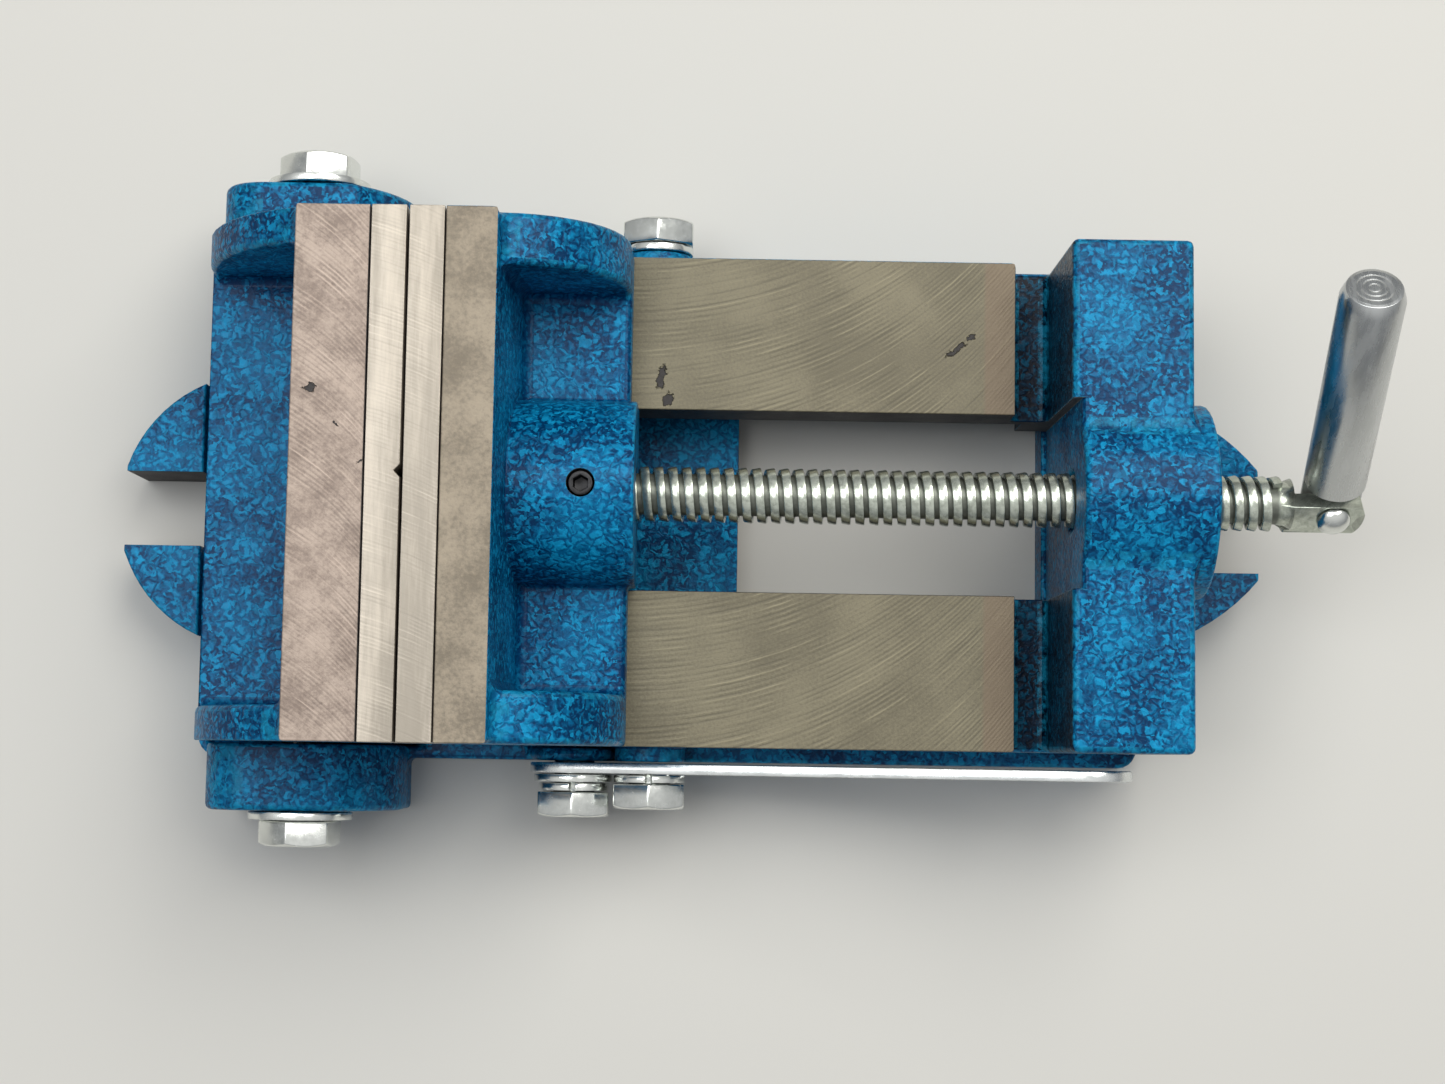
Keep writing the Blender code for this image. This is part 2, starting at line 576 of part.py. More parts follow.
def make_washer(name, axis, seat, radius, material, split=False):
    """A washer that starts at the seat and stands out along the axis; a split one is a spring washer."""
    ring = cylinder(axis, seat, 0, WASHER_THICKNESS, radius)
    hole = BOLT_RADIUS + HOLE_GAP
    cut(ring, cylinder(axis, seat, -CUT_PAST, WASHER_THICKNESS + CUT_PAST, hole, SMALL_TURN_STEPS))
    if split:
        half = SPRING_WASHER_SPLIT / 2
        y_range = sorted((seat.y - axis.y * CUT_PAST, seat.y + axis.y * CUT_PAST))
        z_range = (seat.z, seat.z + 2 * radius)
        cut(ring, block((seat.x - half, seat.x + half), tuple(y_range), z_range))
    return finished(ring, name, material)


def make_keeper(material):
    """The keeper plate under the ways, which holds the moving jaw down."""
    half = KEEPER_WIDTH / 2
    top = TONGUE_BOTTOM - SEAT_GAP
    bottom = top - KEEPER_THICKNESS
    keeper = block((TONGUE_LEFT_X, TONGUE_LEFT_X + TONGUE_LENGTH), (-half, half), (bottom, top))
    for x in keeper_screw_places():
        seat = point(x, bottom)
        reach = KEEPER_THICKNESS + CUT_PAST
        cut(keeper, countersunk(Z_AXIS, seat, reach, KEEPER_SCREW_RADIUS, KEEPER_SCREW_HEAD_RADIUS, HOLE_GAP))
    return finished(keeper, "keeper_plate", material)


def make_keeper_screw(name, x, material):
    """A countersunk screw that comes up through the keeper plate into the tongue."""
    seat = point(x, TONGUE_BOTTOM - SEAT_GAP - KEEPER_THICKNESS + SEAT_GAP)
    reach = KEEPER_THICKNESS + KEEPER_SCREW_REACH - SLIDE_GAP - SEAT_GAP
    screw = countersunk(Z_AXIS, seat, reach, KEEPER_SCREW_RADIUS, KEEPER_SCREW_HEAD_RADIUS)
    cut(screw, hex_prism(Z_AXIS, seat, -CUT_PAST, SOCKET_DEPTH, SOCKET_RADIUS * 2, 0))
    return finished(screw, name, material)


def make_set_screw(material):
    """The socket set screw whose tip stands in the groove of the lead screw and makes it draw the jaw."""
    top = SCREW_Z + JAW_BOSS_RADIUS - SET_SCREW_SUNK
    shoulder = SCREW_Z + SCREW_RADIUS + HOLE_GAP
    tip = SCREW_Z + RETAINING_GROOVE_RADIUS + HOLE_GAP
    profile = [(tip, SET_SCREW_TIP_RADIUS), (shoulder, SET_SCREW_TIP_RADIUS), (shoulder, SET_SCREW_RADIUS)]
    profile += [(top, SET_SCREW_RADIUS)]
    screw = turned(profile, Z_AXIS, point(SET_SCREW_X, 0), SMALL_TURN_STEPS)
    socket = hex_prism(Z_AXIS, point(SET_SCREW_X, 0), top - SOCKET_DEPTH, top + CUT_PAST, SOCKET_RADIUS * 2, 0)
    return finished(cut(screw, socket), "jaw_set_screw", material)


def handle_frame():
    """Matrix from the handle's own frame, with its axis up +Z and its pivot along -Y, to its place at rest."""
    return Matrix.Translation((RIVET_X, 0, SCREW_Z)) @ Matrix.Rotation(-HANDLE_LEAN, 4, "X")


def make_lead_screw(material):
    """The lead screw: stem, retaining groove, neck and the half-round tongue that carries the handle."""
    groove = RETAINING_GROOVE_WIDTH / 2
    profile = [(SCREW_TAIL_X, SCREW_RADIUS - 0.6 * MM), (SCREW_TAIL_X + 0.6 * MM, SCREW_RADIUS)]
    profile += [(SET_SCREW_X - groove, SCREW_RADIUS), (SET_SCREW_X - groove, RETAINING_GROOVE_RADIUS)]
    profile += [(SET_SCREW_X + groove, RETAINING_GROOVE_RADIUS), (SET_SCREW_X + groove, SCREW_RADIUS)]
    profile += [(THREAD_END_X - 0.5 * MM, SCREW_RADIUS), (THREAD_END_X, NECK_RADIUS), (TONGUE_START_X, NECK_RADIUS)]
    screw = turned(profile, X_AXIS, point(0, SCREW_Z))
    back = TONGUE_START_X - MELT - RIVET_X
    outline = [(back, -SCREW_TIP_RADIUS)] + arc_points((0, 0), SCREW_TIP_RADIUS, -90, 0, steps=8)
    outline += [(SCREW_TIP_RADIUS, SCREW_CROWN_FLAT * 0.4)]
    outline += [(SCREW_TIP_RADIUS - 0.7 * MM, SCREW_CROWN_FLAT), (back, SCREW_CROWN_FLAT)]
    tongue = prism(outline, "y", -SCREW_FLAT, -LAP_GAP)
    stock = cylinder(X_AXIS, Vector(), back - CUT_PAST, SCREW_TIP_RADIUS + CUT_PAST, SCREW_RADIUS)
    boolean(tongue, stock, "INTERSECT")
    hole = RIVET_RADIUS + HOLE_GAP
    cut(tongue, cylinder(Y_AXIS, Vector(), -SCREW_RADIUS - CUT_PAST, CUT_PAST, hole, SMALL_TURN_STEPS))
    join(screw, place(tongue, handle_frame()))
    return finished(screw, "lead_screw", material)


def make_handle_bar(material):
    """The handle: a round bar, halved at its foot so that it laps the tongue of the screw."""
    shoulder = HANDLE_LENGTH - HANDLE_CHAMFER_LENGTH
    profile = [(-HANDLE_RADIUS, HANDLE_RADIUS), (shoulder, HANDLE_RADIUS)]
    profile += [(HANDLE_LENGTH, HANDLE_RADIUS - HANDLE_CHAMFER)]
    bar = turned(profile, Z_AXIS, Vector())
    reach = HANDLE_LENGTH + CUT_PAST
    wide = HANDLE_RADIUS + MELT / 2
    foot = arc_points((0, 0), wide, 180, 360, steps=16) + [(wide, reach), (-wide, reach)]
    boolean(bar, prism(foot, "y", -2 * HANDLE_RADIUS, 2 * HANDLE_RADIUS), "INTERSECT")
    lap_x = (-2 * HANDLE_RADIUS, 2 * HANDLE_RADIUS)
    cut(bar, block(lap_x, (-2 * HANDLE_RADIUS, LAP_GAP), (-2 * HANDLE_RADIUS, HANDLE_SHOULDER)))
    hole = RIVET_RADIUS + HOLE_GAP
    cut(bar, cylinder(Y_AXIS, Vector(), -CUT_PAST, HANDLE_RADIUS + CUT_PAST, hole, SMALL_TURN_STEPS))
    bar.matrix_world = handle_frame() @ Matrix.Rotation(-HANDLE_FOLD, 4, "Y")
    return finished(bar, "handle_bar", material)


def make_rivet(material):
    """The domed rivet that the handle folds on."""
    flat = -SCREW_FLAT - SEAT_GAP
    profile = [(RIVET_FOOT, RIVET_RADIUS), (flat, RIVET_RADIUS)]
    dome = [(flat - RIVET_HEAD_HEIGHT * sin(a), RIVET_HEAD_RADIUS * cos(a)) for a in (0, 0.4, 0.8, 1.2)]
    rivet = turned(profile + dome + [(flat - RIVET_HEAD_HEIGHT, 0)], Y_AXIS, Vector(), SMALL_TURN_STEPS)
    place(rivet, handle_frame())
    return finished(rivet, "handle_rivet", material)


def make_strap(material):
    """The slotted tilt strap, made level and then turned about its pivot."""
    half = STRAP_WIDTH / 2
    outline = arc_points((0, 0), half, 270, 90, steps=12) + arc_points((STRAP_REACH, 0), half, 90, -90, steps=12)
    strap = prism(outline, "y", -STRAP_OUTER_Y, -STRAP_INNER_Y)
    past = STRAP_OUTER_Y + CUT_PAST
    inside = STRAP_INNER_Y - CUT_PAST
    cut(strap, cylinder(Y_AXIS, Vector(), -past, -inside, BOLT_HOLE_RADIUS, SMALL_TURN_STEPS))
    wide = STRAP_SLOT_WIDTH / 2
    slot = arc_points((LOCK_DISTANCE, 0), wide, 270, 90, steps=8)
    slot += arc_points((LOCK_DISTANCE + STRAP_SLOT_TRAVEL, 0), wide, 90, -90, steps=8)
    cut(strap, prism(slot, "y", -past, -inside))
    strap.location = (PIVOT_X, 0, PIVOT_Z)
    strap.rotation_euler = (0, -STRAP_ANGLE, 0)
    return finished(strap, "tilt_strap", material)


def hold(carrier, *pieces):
    """Parents pieces to the one that carries them and leaves them where they are."""
    bpy.context.view_layer.update()
    for piece in pieces:
        world = piece.matrix_world.copy()
        piece.parent = carrier
        piece.matrix_parent_inverse = carrier.matrix_world.inverted()
        piece.matrix_world = world


def pivot_empty(name, place_at):
    """An empty on a joint's axis."""
    empty = bpy.data.objects.new(name, None)
    empty.location = place_at
    empty.empty_display_size = 10 * MM
    bpy.context.scene.collection.objects.link(empty)
    return empty


def make_fasteners(zinc, dark_steel):
    """Bolts, washers and small screws, grouped by the piece that carries them."""
    on_base, on_body, on_jaw, on_lock = [], [], [], []
    for side, hand in ((-1, "near"), (1, "far")):
        out = Y_AXIS * side
        seat = point(HINGE_X, HINGE_Z, side * (LUG_OUTER_Y + SEAT_GAP))
        on_body.append(make_washer(f"hinge_washer_{hand}", out, seat, FLAT_WASHER_RADIUS, zinc))
        head = seat + out * (WASHER_THICKNESS + SEAT_GAP)
        reach = abs(head.y) - HALF_JAW + HINGE_BOLT_REACH - SLIDE_GAP
        on_body.append(make_hex_bolt(f"hinge_bolt_{hand}", out, head, reach, HINGE_BOLT_TURN * side, zinc))
    out = Y_AXIS
    seat = point(LOCK_X, LOCK_Z, PAD_FACE_Y + SEAT_GAP)
    on_body.append(make_washer("far_lock_washer", out, seat, LOCK_WASHER_RADIUS, zinc))
    head = seat + out * (WASHER_THICKNESS + SEAT_GAP)
    reach = head.y - HALF_JAW + LOCK_BOLT_REACH - SLIDE_GAP
    on_body.append(make_hex_bolt("far_lock_bolt", out, head, reach, LOCK_BOLT_TURN, zinc))
    out = -Y_AXIS
    face = STRAP_OUTER_Y + SEAT_GAP
    seat = point(PIVOT_X, PIVOT_Z, -face)
    on_base.append(make_washer("strap_pivot_washer", out, seat, PIVOT_WASHER_RADIUS, zinc))
    spring = seat + out * (WASHER_THICKNESS + SEAT_GAP)
    on_base.append(make_washer("strap_pivot_spring_washer", out, spring, LOCK_WASHER_RADIUS, zinc, split=True))
    head = spring + out * (WASHER_THICKNESS + SEAT_GAP)
    reach = -head.y - HALF_JAW - RUNNING_GAP
    on_base.append(make_hex_bolt("strap_pivot_bolt", out, head, reach, LOCK_BOLT_TURN, zinc))
    seat = point(LOCK_X, LOCK_Z, -face)
    on_lock.append(make_washer("strap_lock_washer", out, seat, LOCK_WASHER_RADIUS, zinc, split=True))
    head = seat + out * (WASHER_THICKNESS + SEAT_GAP)
    reach = -head.y - STRAP_INNER_Y
    on_lock.append(make_hex_bolt("strap_lock_bolt", out, head, reach, LOCK_BOLT_TURN, zinc))
    for side, hand in ((-1, "near"), (1, "far")):
        reach = PLATE_THICKNESS + PLATE_SCREW_REACH - SLIDE_GAP - SEAT_GAP
        name = f"fixed_plate_screw_{hand}"
        on_body.append(make_plate_screw(name, FIXED_FACE_X, -1, side, reach, dark_steel))
        reach = PLATE_THICKNESS + MOVING_TOP_THICKNESS - 1.5 * MM - SLIDE_GAP
        name = f"moving_plate_screw_{hand}"
        on_jaw.append(make_plate_screw(name, MOVING_FACE_X, 1, side, reach, dark_steel))
    for x, hand in zip(keeper_screw_places(), ("rear", "front")):
        on_jaw.append(make_keeper_screw(f"keeper_screw_{hand}", x, dark_steel))
    on_jaw.append(make_set_screw(dark_steel))
    return on_base, on_body, on_jaw, on_lock


def main():
    """Builds every piece and parents each to what carries it."""
    clear_scene()
    enamel = finish_material("blue_hammered_enamel", (0.01, 0.16, 0.30), 0.32, 0.35)
    ground = finish_material("ground_steel", (0.56, 0.55, 0.52), 0.38, 1.0)
    zinc = finish_material("bright_zinc", (0.66, 0.68, 0.66), 0.28, 1.0)
    polished = finish_material("polished_bar", (0.50, 0.51, 0.52), 0.18, 1.0)
    dark_steel = finish_material("black_oxide", (0.04, 0.04, 0.045), 0.45, 0.9)
    base = make_base(enamel)
    body = make_vise_body(enamel)
    jaw = make_moving_jaw(enamel)
    fixed_plate = make_jaw_plate("fixed_jaw_plate", FIXED_FACE_X, -1, True, ground)
    moving_plate = make_jaw_plate("moving_jaw_plate", MOVING_FACE_X, 1, False, ground)
    keeper = make_keeper(ground)
    screw = make_lead_screw(zinc)
    handle = make_handle_bar(polished)
    rivet = make_rivet(zinc)
    strap = make_strap(zinc)
    on_base, on_body, on_jaw, on_lock = make_fasteners(zinc, dark_steel)
    hinge = pivot_empty("tilt_axis", point(HINGE_X, HINGE_Z))
    screw_axis = pivot_empty("screw_axis", point(0, SCREW_Z))
    lock = pivot_empty("lock_bolt_seat", point(LOCK_X, LOCK_Z))
    hold(base, hinge, strap, *on_base)
    hold(hinge, body, fixed_plate, *on_body)
    hold(body, jaw)
    hold(jaw, moving_plate, keeper, screw_axis, *on_jaw)
    hold(screw_axis, screw, rivet, handle)
    hold(strap, lock)
    hold(lock, *on_lock)


main()
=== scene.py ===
"""Looks of a tilting drill press vise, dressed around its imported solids.

Castings, plates, bars and fasteners are refined copies of the solids, with their
edges rounded as the real pieces' are. The lead screw gets its thread, and every
surface gets its own finish. Sizes are in metres; patterns, and the places that tell
the faces of a casting apart, are in millimetres.
"""

import json
import logging
import math
from dataclasses import dataclass, field
from enum import Enum
from typing import Callable, Sequence

import bmesh
import bpy
from mathutils import Matrix, Vector
from mathutils.geometry import delaunay_2d_cdt, intersect_point_line

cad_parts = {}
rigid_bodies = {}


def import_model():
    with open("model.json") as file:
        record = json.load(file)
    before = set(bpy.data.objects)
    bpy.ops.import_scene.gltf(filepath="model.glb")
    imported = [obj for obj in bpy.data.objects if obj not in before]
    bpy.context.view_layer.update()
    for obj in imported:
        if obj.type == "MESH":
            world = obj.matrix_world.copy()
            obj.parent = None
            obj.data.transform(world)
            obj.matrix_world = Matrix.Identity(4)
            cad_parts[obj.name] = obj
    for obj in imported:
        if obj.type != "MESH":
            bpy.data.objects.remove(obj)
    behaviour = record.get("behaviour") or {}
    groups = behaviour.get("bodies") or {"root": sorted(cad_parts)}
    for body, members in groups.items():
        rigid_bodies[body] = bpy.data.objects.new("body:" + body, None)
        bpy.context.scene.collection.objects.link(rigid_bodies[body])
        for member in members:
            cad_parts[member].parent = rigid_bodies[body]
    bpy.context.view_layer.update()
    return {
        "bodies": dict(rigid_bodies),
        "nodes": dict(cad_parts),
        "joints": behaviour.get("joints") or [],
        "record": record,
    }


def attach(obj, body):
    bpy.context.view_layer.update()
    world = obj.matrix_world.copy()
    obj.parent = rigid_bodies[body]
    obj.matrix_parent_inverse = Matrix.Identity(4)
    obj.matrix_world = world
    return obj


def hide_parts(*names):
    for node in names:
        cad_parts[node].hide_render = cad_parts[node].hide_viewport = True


LOG = logging.getLogger("vise")
MM = 0.001
SCREW_AXIS_Z = 32.5 * MM

# Heights that tell faces apart, in millimetres: of the ways, and just under the jaw tops.
WAY_Z = 25.0
JAW_TOP_Z = 56.5

# Limits for rounding the edges and laying the flat faces anew.
MERGE_DISTANCE = 4e-6
FLAT_ANGLE = math.radians(0.8)
SAME_PLANE = 0.004
EASING_ROUNDS = 12
EASING = 0.7
CROWD_REACH = 1.6e-3
STRAIGHT_ON = math.radians(35.0)
NARROW_SHARE = 0.55
LEAST_TURN = math.radians(12.0)

# Parts of a face's normal along an axis that it faces, leans to or lies aside of.
FACING = 0.9
HALFWAY = 0.5
ASIDE = 0.3

# How far from a named place a face may lie, in millimetres.
NEAR = 0.3

Colour = tuple[float, float, float]
Place = tuple[float, float, float]
Span = tuple[float, float]
Node = bpy.types.Node
Socket = bpy.types.NodeSocket
Sockets = Sequence[bpy.types.NodeSocket]
Tree = bpy.types.NodeTree
Mesh = bpy.types.Mesh
Piece = bpy.types.Object
Work = bmesh.types.BMesh
Face = bmesh.types.BMFace
Edge = bmesh.types.BMEdge
Corner = bmesh.types.BMVert

SOCKET_KINDS = {1: "NodeSocketFloat", 3: "NodeSocketVector", 4: "NodeSocketColor"}
NOWHERE = (0.0, 0.0, 0.0)
BLACK = (0.0, 0.0, 0.0, 1.0)
WHITE = (1.0, 1.0, 1.0, 1.0)


class Slot(Enum):
    """Material slots of the record."""

    ENAMEL = "blue_hammered_enamel"
    GROUND = "ground_steel"
    ZINC = "bright_zinc"
    POLISHED = "polished_steel"
    BLACK = "black_oxide_steel"


class Surface(Enum):
    """Finishes that a face of a piece can have."""

    ENAMEL = "hammered_enamel"
    # A darker copy of the enamel: painted shade for the trench by the rear block.
    SHADED_ENAMEL = "deep_hammered_enamel"
    WAY = "fly_cut_way"
    FIXED_TOP = "fly_cut_jaw_top"
    MOVING_TOP = "milled_jaw_top"
    RAW_CAST = "bare_cast_iron"
    PLATE = "milled_plate"
    ZINC = "bright_zinc_plate"
    STRAP = "zinc_strap"
    THREAD = "rolled_thread"
    BAR = "turned_bar"
    BLACK = "black_oxide"


PAINTED = (Surface.ENAMEL, Surface.SHADED_ENAMEL)
SurfaceRule = Callable[[Vector, Vector], Surface]


def rgba(colour: Sequence[float], gain: float = 1.0) -> tuple[float, float, float, float]:
    """Return the colour times a gain, no brighter than white, with a full alpha."""
    return (*(min(1.0, gain * part) for part in colour), 1.0)


class Sheet:
    """Adds nodes to a node tree and links them in one step."""

    def __init__(self, tree: Tree) -> None:
        """Keep the tree that is filled."""
        self.tree = tree

    def add(self, kind: str, inputs: dict | None = None, **settings: object) -> Node:
        """Add one node.

        Args:
            kind: Type name of the node.
            inputs: Socket name or index to a value, or to a socket that is linked.
            settings: Attributes of the node.

        Returns:
            The new node.
        """
        made = self.tree.nodes.new(kind)
        for name, value in settings.items():
            setattr(made, name, value)
        for name, value in (inputs or {}).items():
            if isinstance(value, Socket):
                self.tree.links.new(value, made.inputs[name])
            else:
                made.inputs[name].default_value = value
        return made

    def effect(self, tree: Tree, inputs: dict) -> Sockets:
        """Place a shared effect with its own values, and return its outputs."""
        return self.add("ShaderNodeGroup", inputs, node_tree=tree).outputs

    def math(self, operation: str, first: object, second: object = 0.0,
             clamp: bool = False) -> Socket:
        """Return the result of a Math node, kept between 0 and 1 if it is clamped."""
        return self.add("ShaderNodeMath", {0: first, 1: second},
                        operation=operation, use_clamp=clamp).outputs[0]

    def vector(self, operation: str, first: object, second: object) -> Socket:
        """Return the result of a Vector Math node."""
        return self.add("ShaderNodeVectorMath", {0: first, 1: second},
                        operation=operation).outputs[0]

    def sum(self, first: Socket, share: float, second: Socket, other_share: float) -> Socket:
        """Return the sum of two sockets, each times its share."""
        return self.math("ADD", self.math("MULTIPLY", first, share),
                         self.math("MULTIPLY", second, other_share))

    def reach(self, first: Socket, second: Socket) -> Socket:
        """Return the distance that two legs at a right angle span."""
        return self.math("SQRT", self.math("ADD", self.math("MULTIPLY", first, first),
                                           self.math("MULTIPLY", second, second)))

    def ramp(self, value: object, low: float, high: float,
             to_low: float = 0.0, to_high: float = 1.0) -> Socket:
        """Return a value mapped smoothly, so that low gives to_low and high to_high."""
        ends = {"From Min": low, "From Max": high, "To Min": to_low, "To Max": to_high}
        return self.add("ShaderNodeMapRange", {"Value": value, **ends},
                        interpolation_type="SMOOTHSTEP").outputs["Result"]

    def blend(self, factor: object, first: object, second: object) -> Socket:
        """Return the mix of two colours, with the factor as the share of the second."""
        return self.add("ShaderNodeMix", {0: factor, 6: first, 7: second},
                        data_type="RGBA").outputs[2]

    def noise(self, vector: Socket, scale: object, detail: float,
              roughness: float = 0.5) -> Node:
        """Return a Noise Texture node at the given scale."""
        return self.add("ShaderNodeTexNoise", {
            "Vector": vector, "Scale": scale, "Detail": detail, "Roughness": roughness})

    def cells(self, vector: Socket, scale: Socket, feature: str = "F1", **inputs: float) -> Node:
        """Return a Voronoi Texture node at the given scale."""
        return self.add("ShaderNodeTexVoronoi",
                        {"Vector": vector, "Scale": scale, "Randomness": 1.0, **inputs},
                        feature=feature)

    def parts(self, vector: Socket) -> Sockets:
        """Return the X, Y and Z sockets of a vector."""
        return self.add("ShaderNodeSeparateXYZ", {0: vector}).outputs

    def stir(self, place: Socket, wander: Node, width: Sequence[float]) -> Socket:
        """Return a place moved about by a noise, within the width along each axis."""
        shift = self.vector("SUBTRACT", wander.outputs["Color"], (0.5, 0.5, 0.5))
        return self.vector("ADD", place, self.vector("MULTIPLY", shift, width))


class SharedEffects:
    """Shader node groups that several finishes use, each built once."""

    def __init__(self) -> None:
        """Build every group."""
        self.hammer = self.group("HammeredPaint", self.hammered_paint, {
            "Vector": NOWHERE, "Cell": 1.25, "Deep": BLACK, "Body": BLACK, "Bright": BLACK})
        self.arcs = self.group("CutterArcs", self.cutter_arcs, {
            "Vector": NOWHERE, "Centre X": 0.0, "Radius": 70.0, "Side": 1.0, "Feed": 0.8,
            "Wobble": 0.25})
        self.grain = self.group("MetalGrain", self.metal_grain, {
            "Vector": NOWHERE, "Fine": 2.5, "Coarse": 0.12, "Dark": BLACK, "Light": WHITE})
        self.blowhole = self.group("Blowhole", self.casting_pit, {
            "Vector": NOWHERE, "Centre": NOWHERE, "Angle": 0.0, "Length": 2.0, "Width": 0.5})
        self.scuffs_and_corner_shade = self.group("RubbedEdgesAndCornerShade", self.rubbed_edges_and_corner_shade, {
            "Vector": NOWHERE, "Edge": 0.0})

    @staticmethod
    def group(name: str, recipe: Callable[[Sheet, Sockets], dict[str, Socket]],
              inputs: dict[str, float | tuple]) -> Tree:
        """Build a shader node group.

        Args:
            name: Name of the group.
            recipe: Fills a sheet from its inputs, and returns its outputs by name.
                Color is a colour, and the rest are numbers.
            inputs: Input name to its default number, place or colour.

        Returns:
            The group.
        """
        tree = bpy.data.node_groups.new(name, "ShaderNodeTree")
        for label, value in inputs.items():
            kind = SOCKET_KINDS[len(value) if isinstance(value, tuple) else 1]
            socket = tree.interface.new_socket(label, in_out="INPUT", socket_type=kind)
            socket.default_value = value
        sheet = Sheet(tree)
        results = recipe(sheet, sheet.add("NodeGroupInput").outputs)
        for label in results:
            kind = SOCKET_KINDS[4 if label == "Color" else 1]
            tree.interface.new_socket(label, in_out="OUTPUT", socket_type=kind)
        sheet.add("NodeGroupOutput", results)
        return tree

    @staticmethod
    def hammered_paint(sheet: Sheet, given: Sockets) -> dict[str, Socket]:
        """Return the outputs of hammered paint: dimpled cells with brighter flakes."""
        place = given["Vector"]
        bent = sheet.stir(place, sheet.noise(place, 0.55, 3.0), (2.6, 2.6, 2.6))
        pitch = sheet.math("DIVIDE", 1.0, given["Cell"])
        cells = sheet.cells(bent, pitch, "SMOOTH_F1", Smoothness=0.35)
        fine = sheet.cells(bent, sheet.math("MULTIPLY", pitch, 2.1))
        creases = sheet.cells(bent, pitch, "DISTANCE_TO_EDGE")
        pool = sheet.noise(place, 0.09, 3.0)
        dome = sheet.ramp(creases.outputs["Distance"], 0.0, 0.34)
        tone = sheet.math("ADD", sheet.sum(dome, 0.55, fine.outputs["Distance"], 0.5),
                          sheet.ramp(pool.outputs["Fac"], 0.3, 0.7, -0.26, 0.26))
        flake = sheet.add("ShaderNodeSeparateColor", {"Color": fine.outputs["Color"]}).outputs[0]
        shade = sheet.add("ShaderNodeSeparateColor", {"Color": cells.outputs["Color"]}).outputs[1]
        colour = given["Deep"]
        for factor, paint in ((sheet.ramp(tone, 0.12, 0.52), "Body"),
                              (sheet.ramp(tone, 0.5, 1.0, 0.0, 0.6), "Bright"),
                              (sheet.ramp(flake, 0.66, 0.98, 0.0, 0.75), "Bright"),
                              (sheet.ramp(shade, 0.62, 0.95, 0.0, 0.4), "Deep")):
            colour = sheet.blend(factor, colour, given[paint])
        return {"Color": colour,
                "Height": sheet.sum(dome, 0.75, fine.outputs["Distance"], 0.25),
                "Roughness": sheet.ramp(flake, 0.1, 0.95, 0.30, 0.46)}

    @staticmethod
    def cutter_arcs(sheet: Sheet, given: Sockets) -> dict[str, Socket]:
        """Return the outputs of cutter marks: arcs of one radius, one feed apart."""
        place = given["Vector"]
        parts = sheet.parts(place)
        off = sheet.math("SUBTRACT", parts["X"], given["Centre X"])
        inside = sheet.math("SUBTRACT", sheet.math("POWER", given["Radius"], 2.0),
                            sheet.math("MULTIPLY", off, off))
        sag = sheet.math("MULTIPLY", sheet.math("SQRT", sheet.math("MAXIMUM", inside, 1.0)),
                         given["Side"])
        wander = sheet.noise(place, 0.3, 3.0, 0.6).outputs["Fac"]
        wave = sheet.math("MULTIPLY", sheet.math("SUBTRACT", wander, 0.5), given["Wobble"])
        phase = sheet.math("ADD", sheet.math("ADD", parts["Y"], sag), wave)
        turns = sheet.math("DIVIDE", phase, given["Feed"])
        bands = sheet.add("ShaderNodeTexNoise", {"Scale": 0.42, "Detail": 3.0, "W": turns},
                          noise_dimensions="1D").outputs["Fac"]
        patches = sheet.noise(place, 0.16, 3.0, 0.6).outputs["Fac"]
        even = sheet.math("MULTIPLY", sheet.math("PINGPONG", turns, 0.5), 2.0)
        even = sheet.math("MULTIPLY", sheet.math("SUBTRACT", even, 0.5),
                          sheet.ramp(patches, 0.35, 0.65, 0.25, 1.0))
        strip = sheet.add("ShaderNodeCombineXYZ", {
            "X": sheet.math("MULTIPLY", turns, 1.3),
            "Y": sheet.math("MULTIPLY", parts["X"], 0.055)}).outputs[0]
        strokes = sheet.noise(strip, 1.0, 3.0, 0.6).outputs["Fac"]
        both = sheet.sum(even, 0.75, sheet.math("SUBTRACT", strokes, 0.5), 1.5)
        return {"Lines": sheet.math("ADD", both, 0.5, clamp=True), "Bands": bands}

    @staticmethod
    def metal_grain(sheet: Sheet, given: Sockets) -> dict[str, Socket]:
        """Return the outputs of metal grain, which varies at two sizes."""
        fine = sheet.noise(given["Vector"], given["Fine"], 4.0, 0.65).outputs["Fac"]
        coarse = sheet.noise(given["Vector"], given["Coarse"], 3.0).outputs["Fac"]
        shade = sheet.ramp(sheet.sum(fine, 0.55, coarse, 0.45), 0.36, 0.64)
        return {"Color": sheet.blend(shade, given["Dark"], given["Light"]), "Height": fine}

    @staticmethod
    def casting_pit(sheet: Sheet, given: Sockets) -> dict[str, Socket]:
        """Return the mask of one casting pit: a ragged slit at a place."""
        wander = sheet.noise(given["Vector"], 0.9, 3.0, 0.7)
        bent = sheet.stir(given["Vector"], wander, (2.4, 2.4, 0.0))
        local = sheet.vector("SUBTRACT", bent, given["Centre"])
        turned = sheet.add("ShaderNodeVectorRotate", {"Vector": local, "Angle": given["Angle"]},
                           rotation_type="Z_AXIS").outputs[0]
        parts = sheet.parts(turned)
        reach = sheet.reach(sheet.math("DIVIDE", parts["X"], given["Length"]),
                            sheet.math("DIVIDE", parts["Y"], given["Width"]))
        return {"Mask": sheet.ramp(reach, 0.45, 0.62, 1.0, 0.0)}

    @staticmethod
    def rubbed_edges_and_corner_shade(sheet: Sheet, given: Sockets) -> dict[str, Socket]:
        """Return a ragged mask of rounded outer edges, and one of inner corners for painted shade.
        """
        rag = sheet.noise(given["Vector"], 0.5, 4.0, 0.65).outputs["Fac"]
        outer = sheet.math("MULTIPLY", sheet.math("MAXIMUM", given["Edge"], 0.0),
                           sheet.ramp(rag, 0.42, 0.62))
        # The inner corners' mask is for painted shade.
        inner = sheet.math("MAXIMUM", sheet.math("MULTIPLY", given["Edge"], -1.0), 0.0)
        return {"Outer": outer, "Inner": inner}


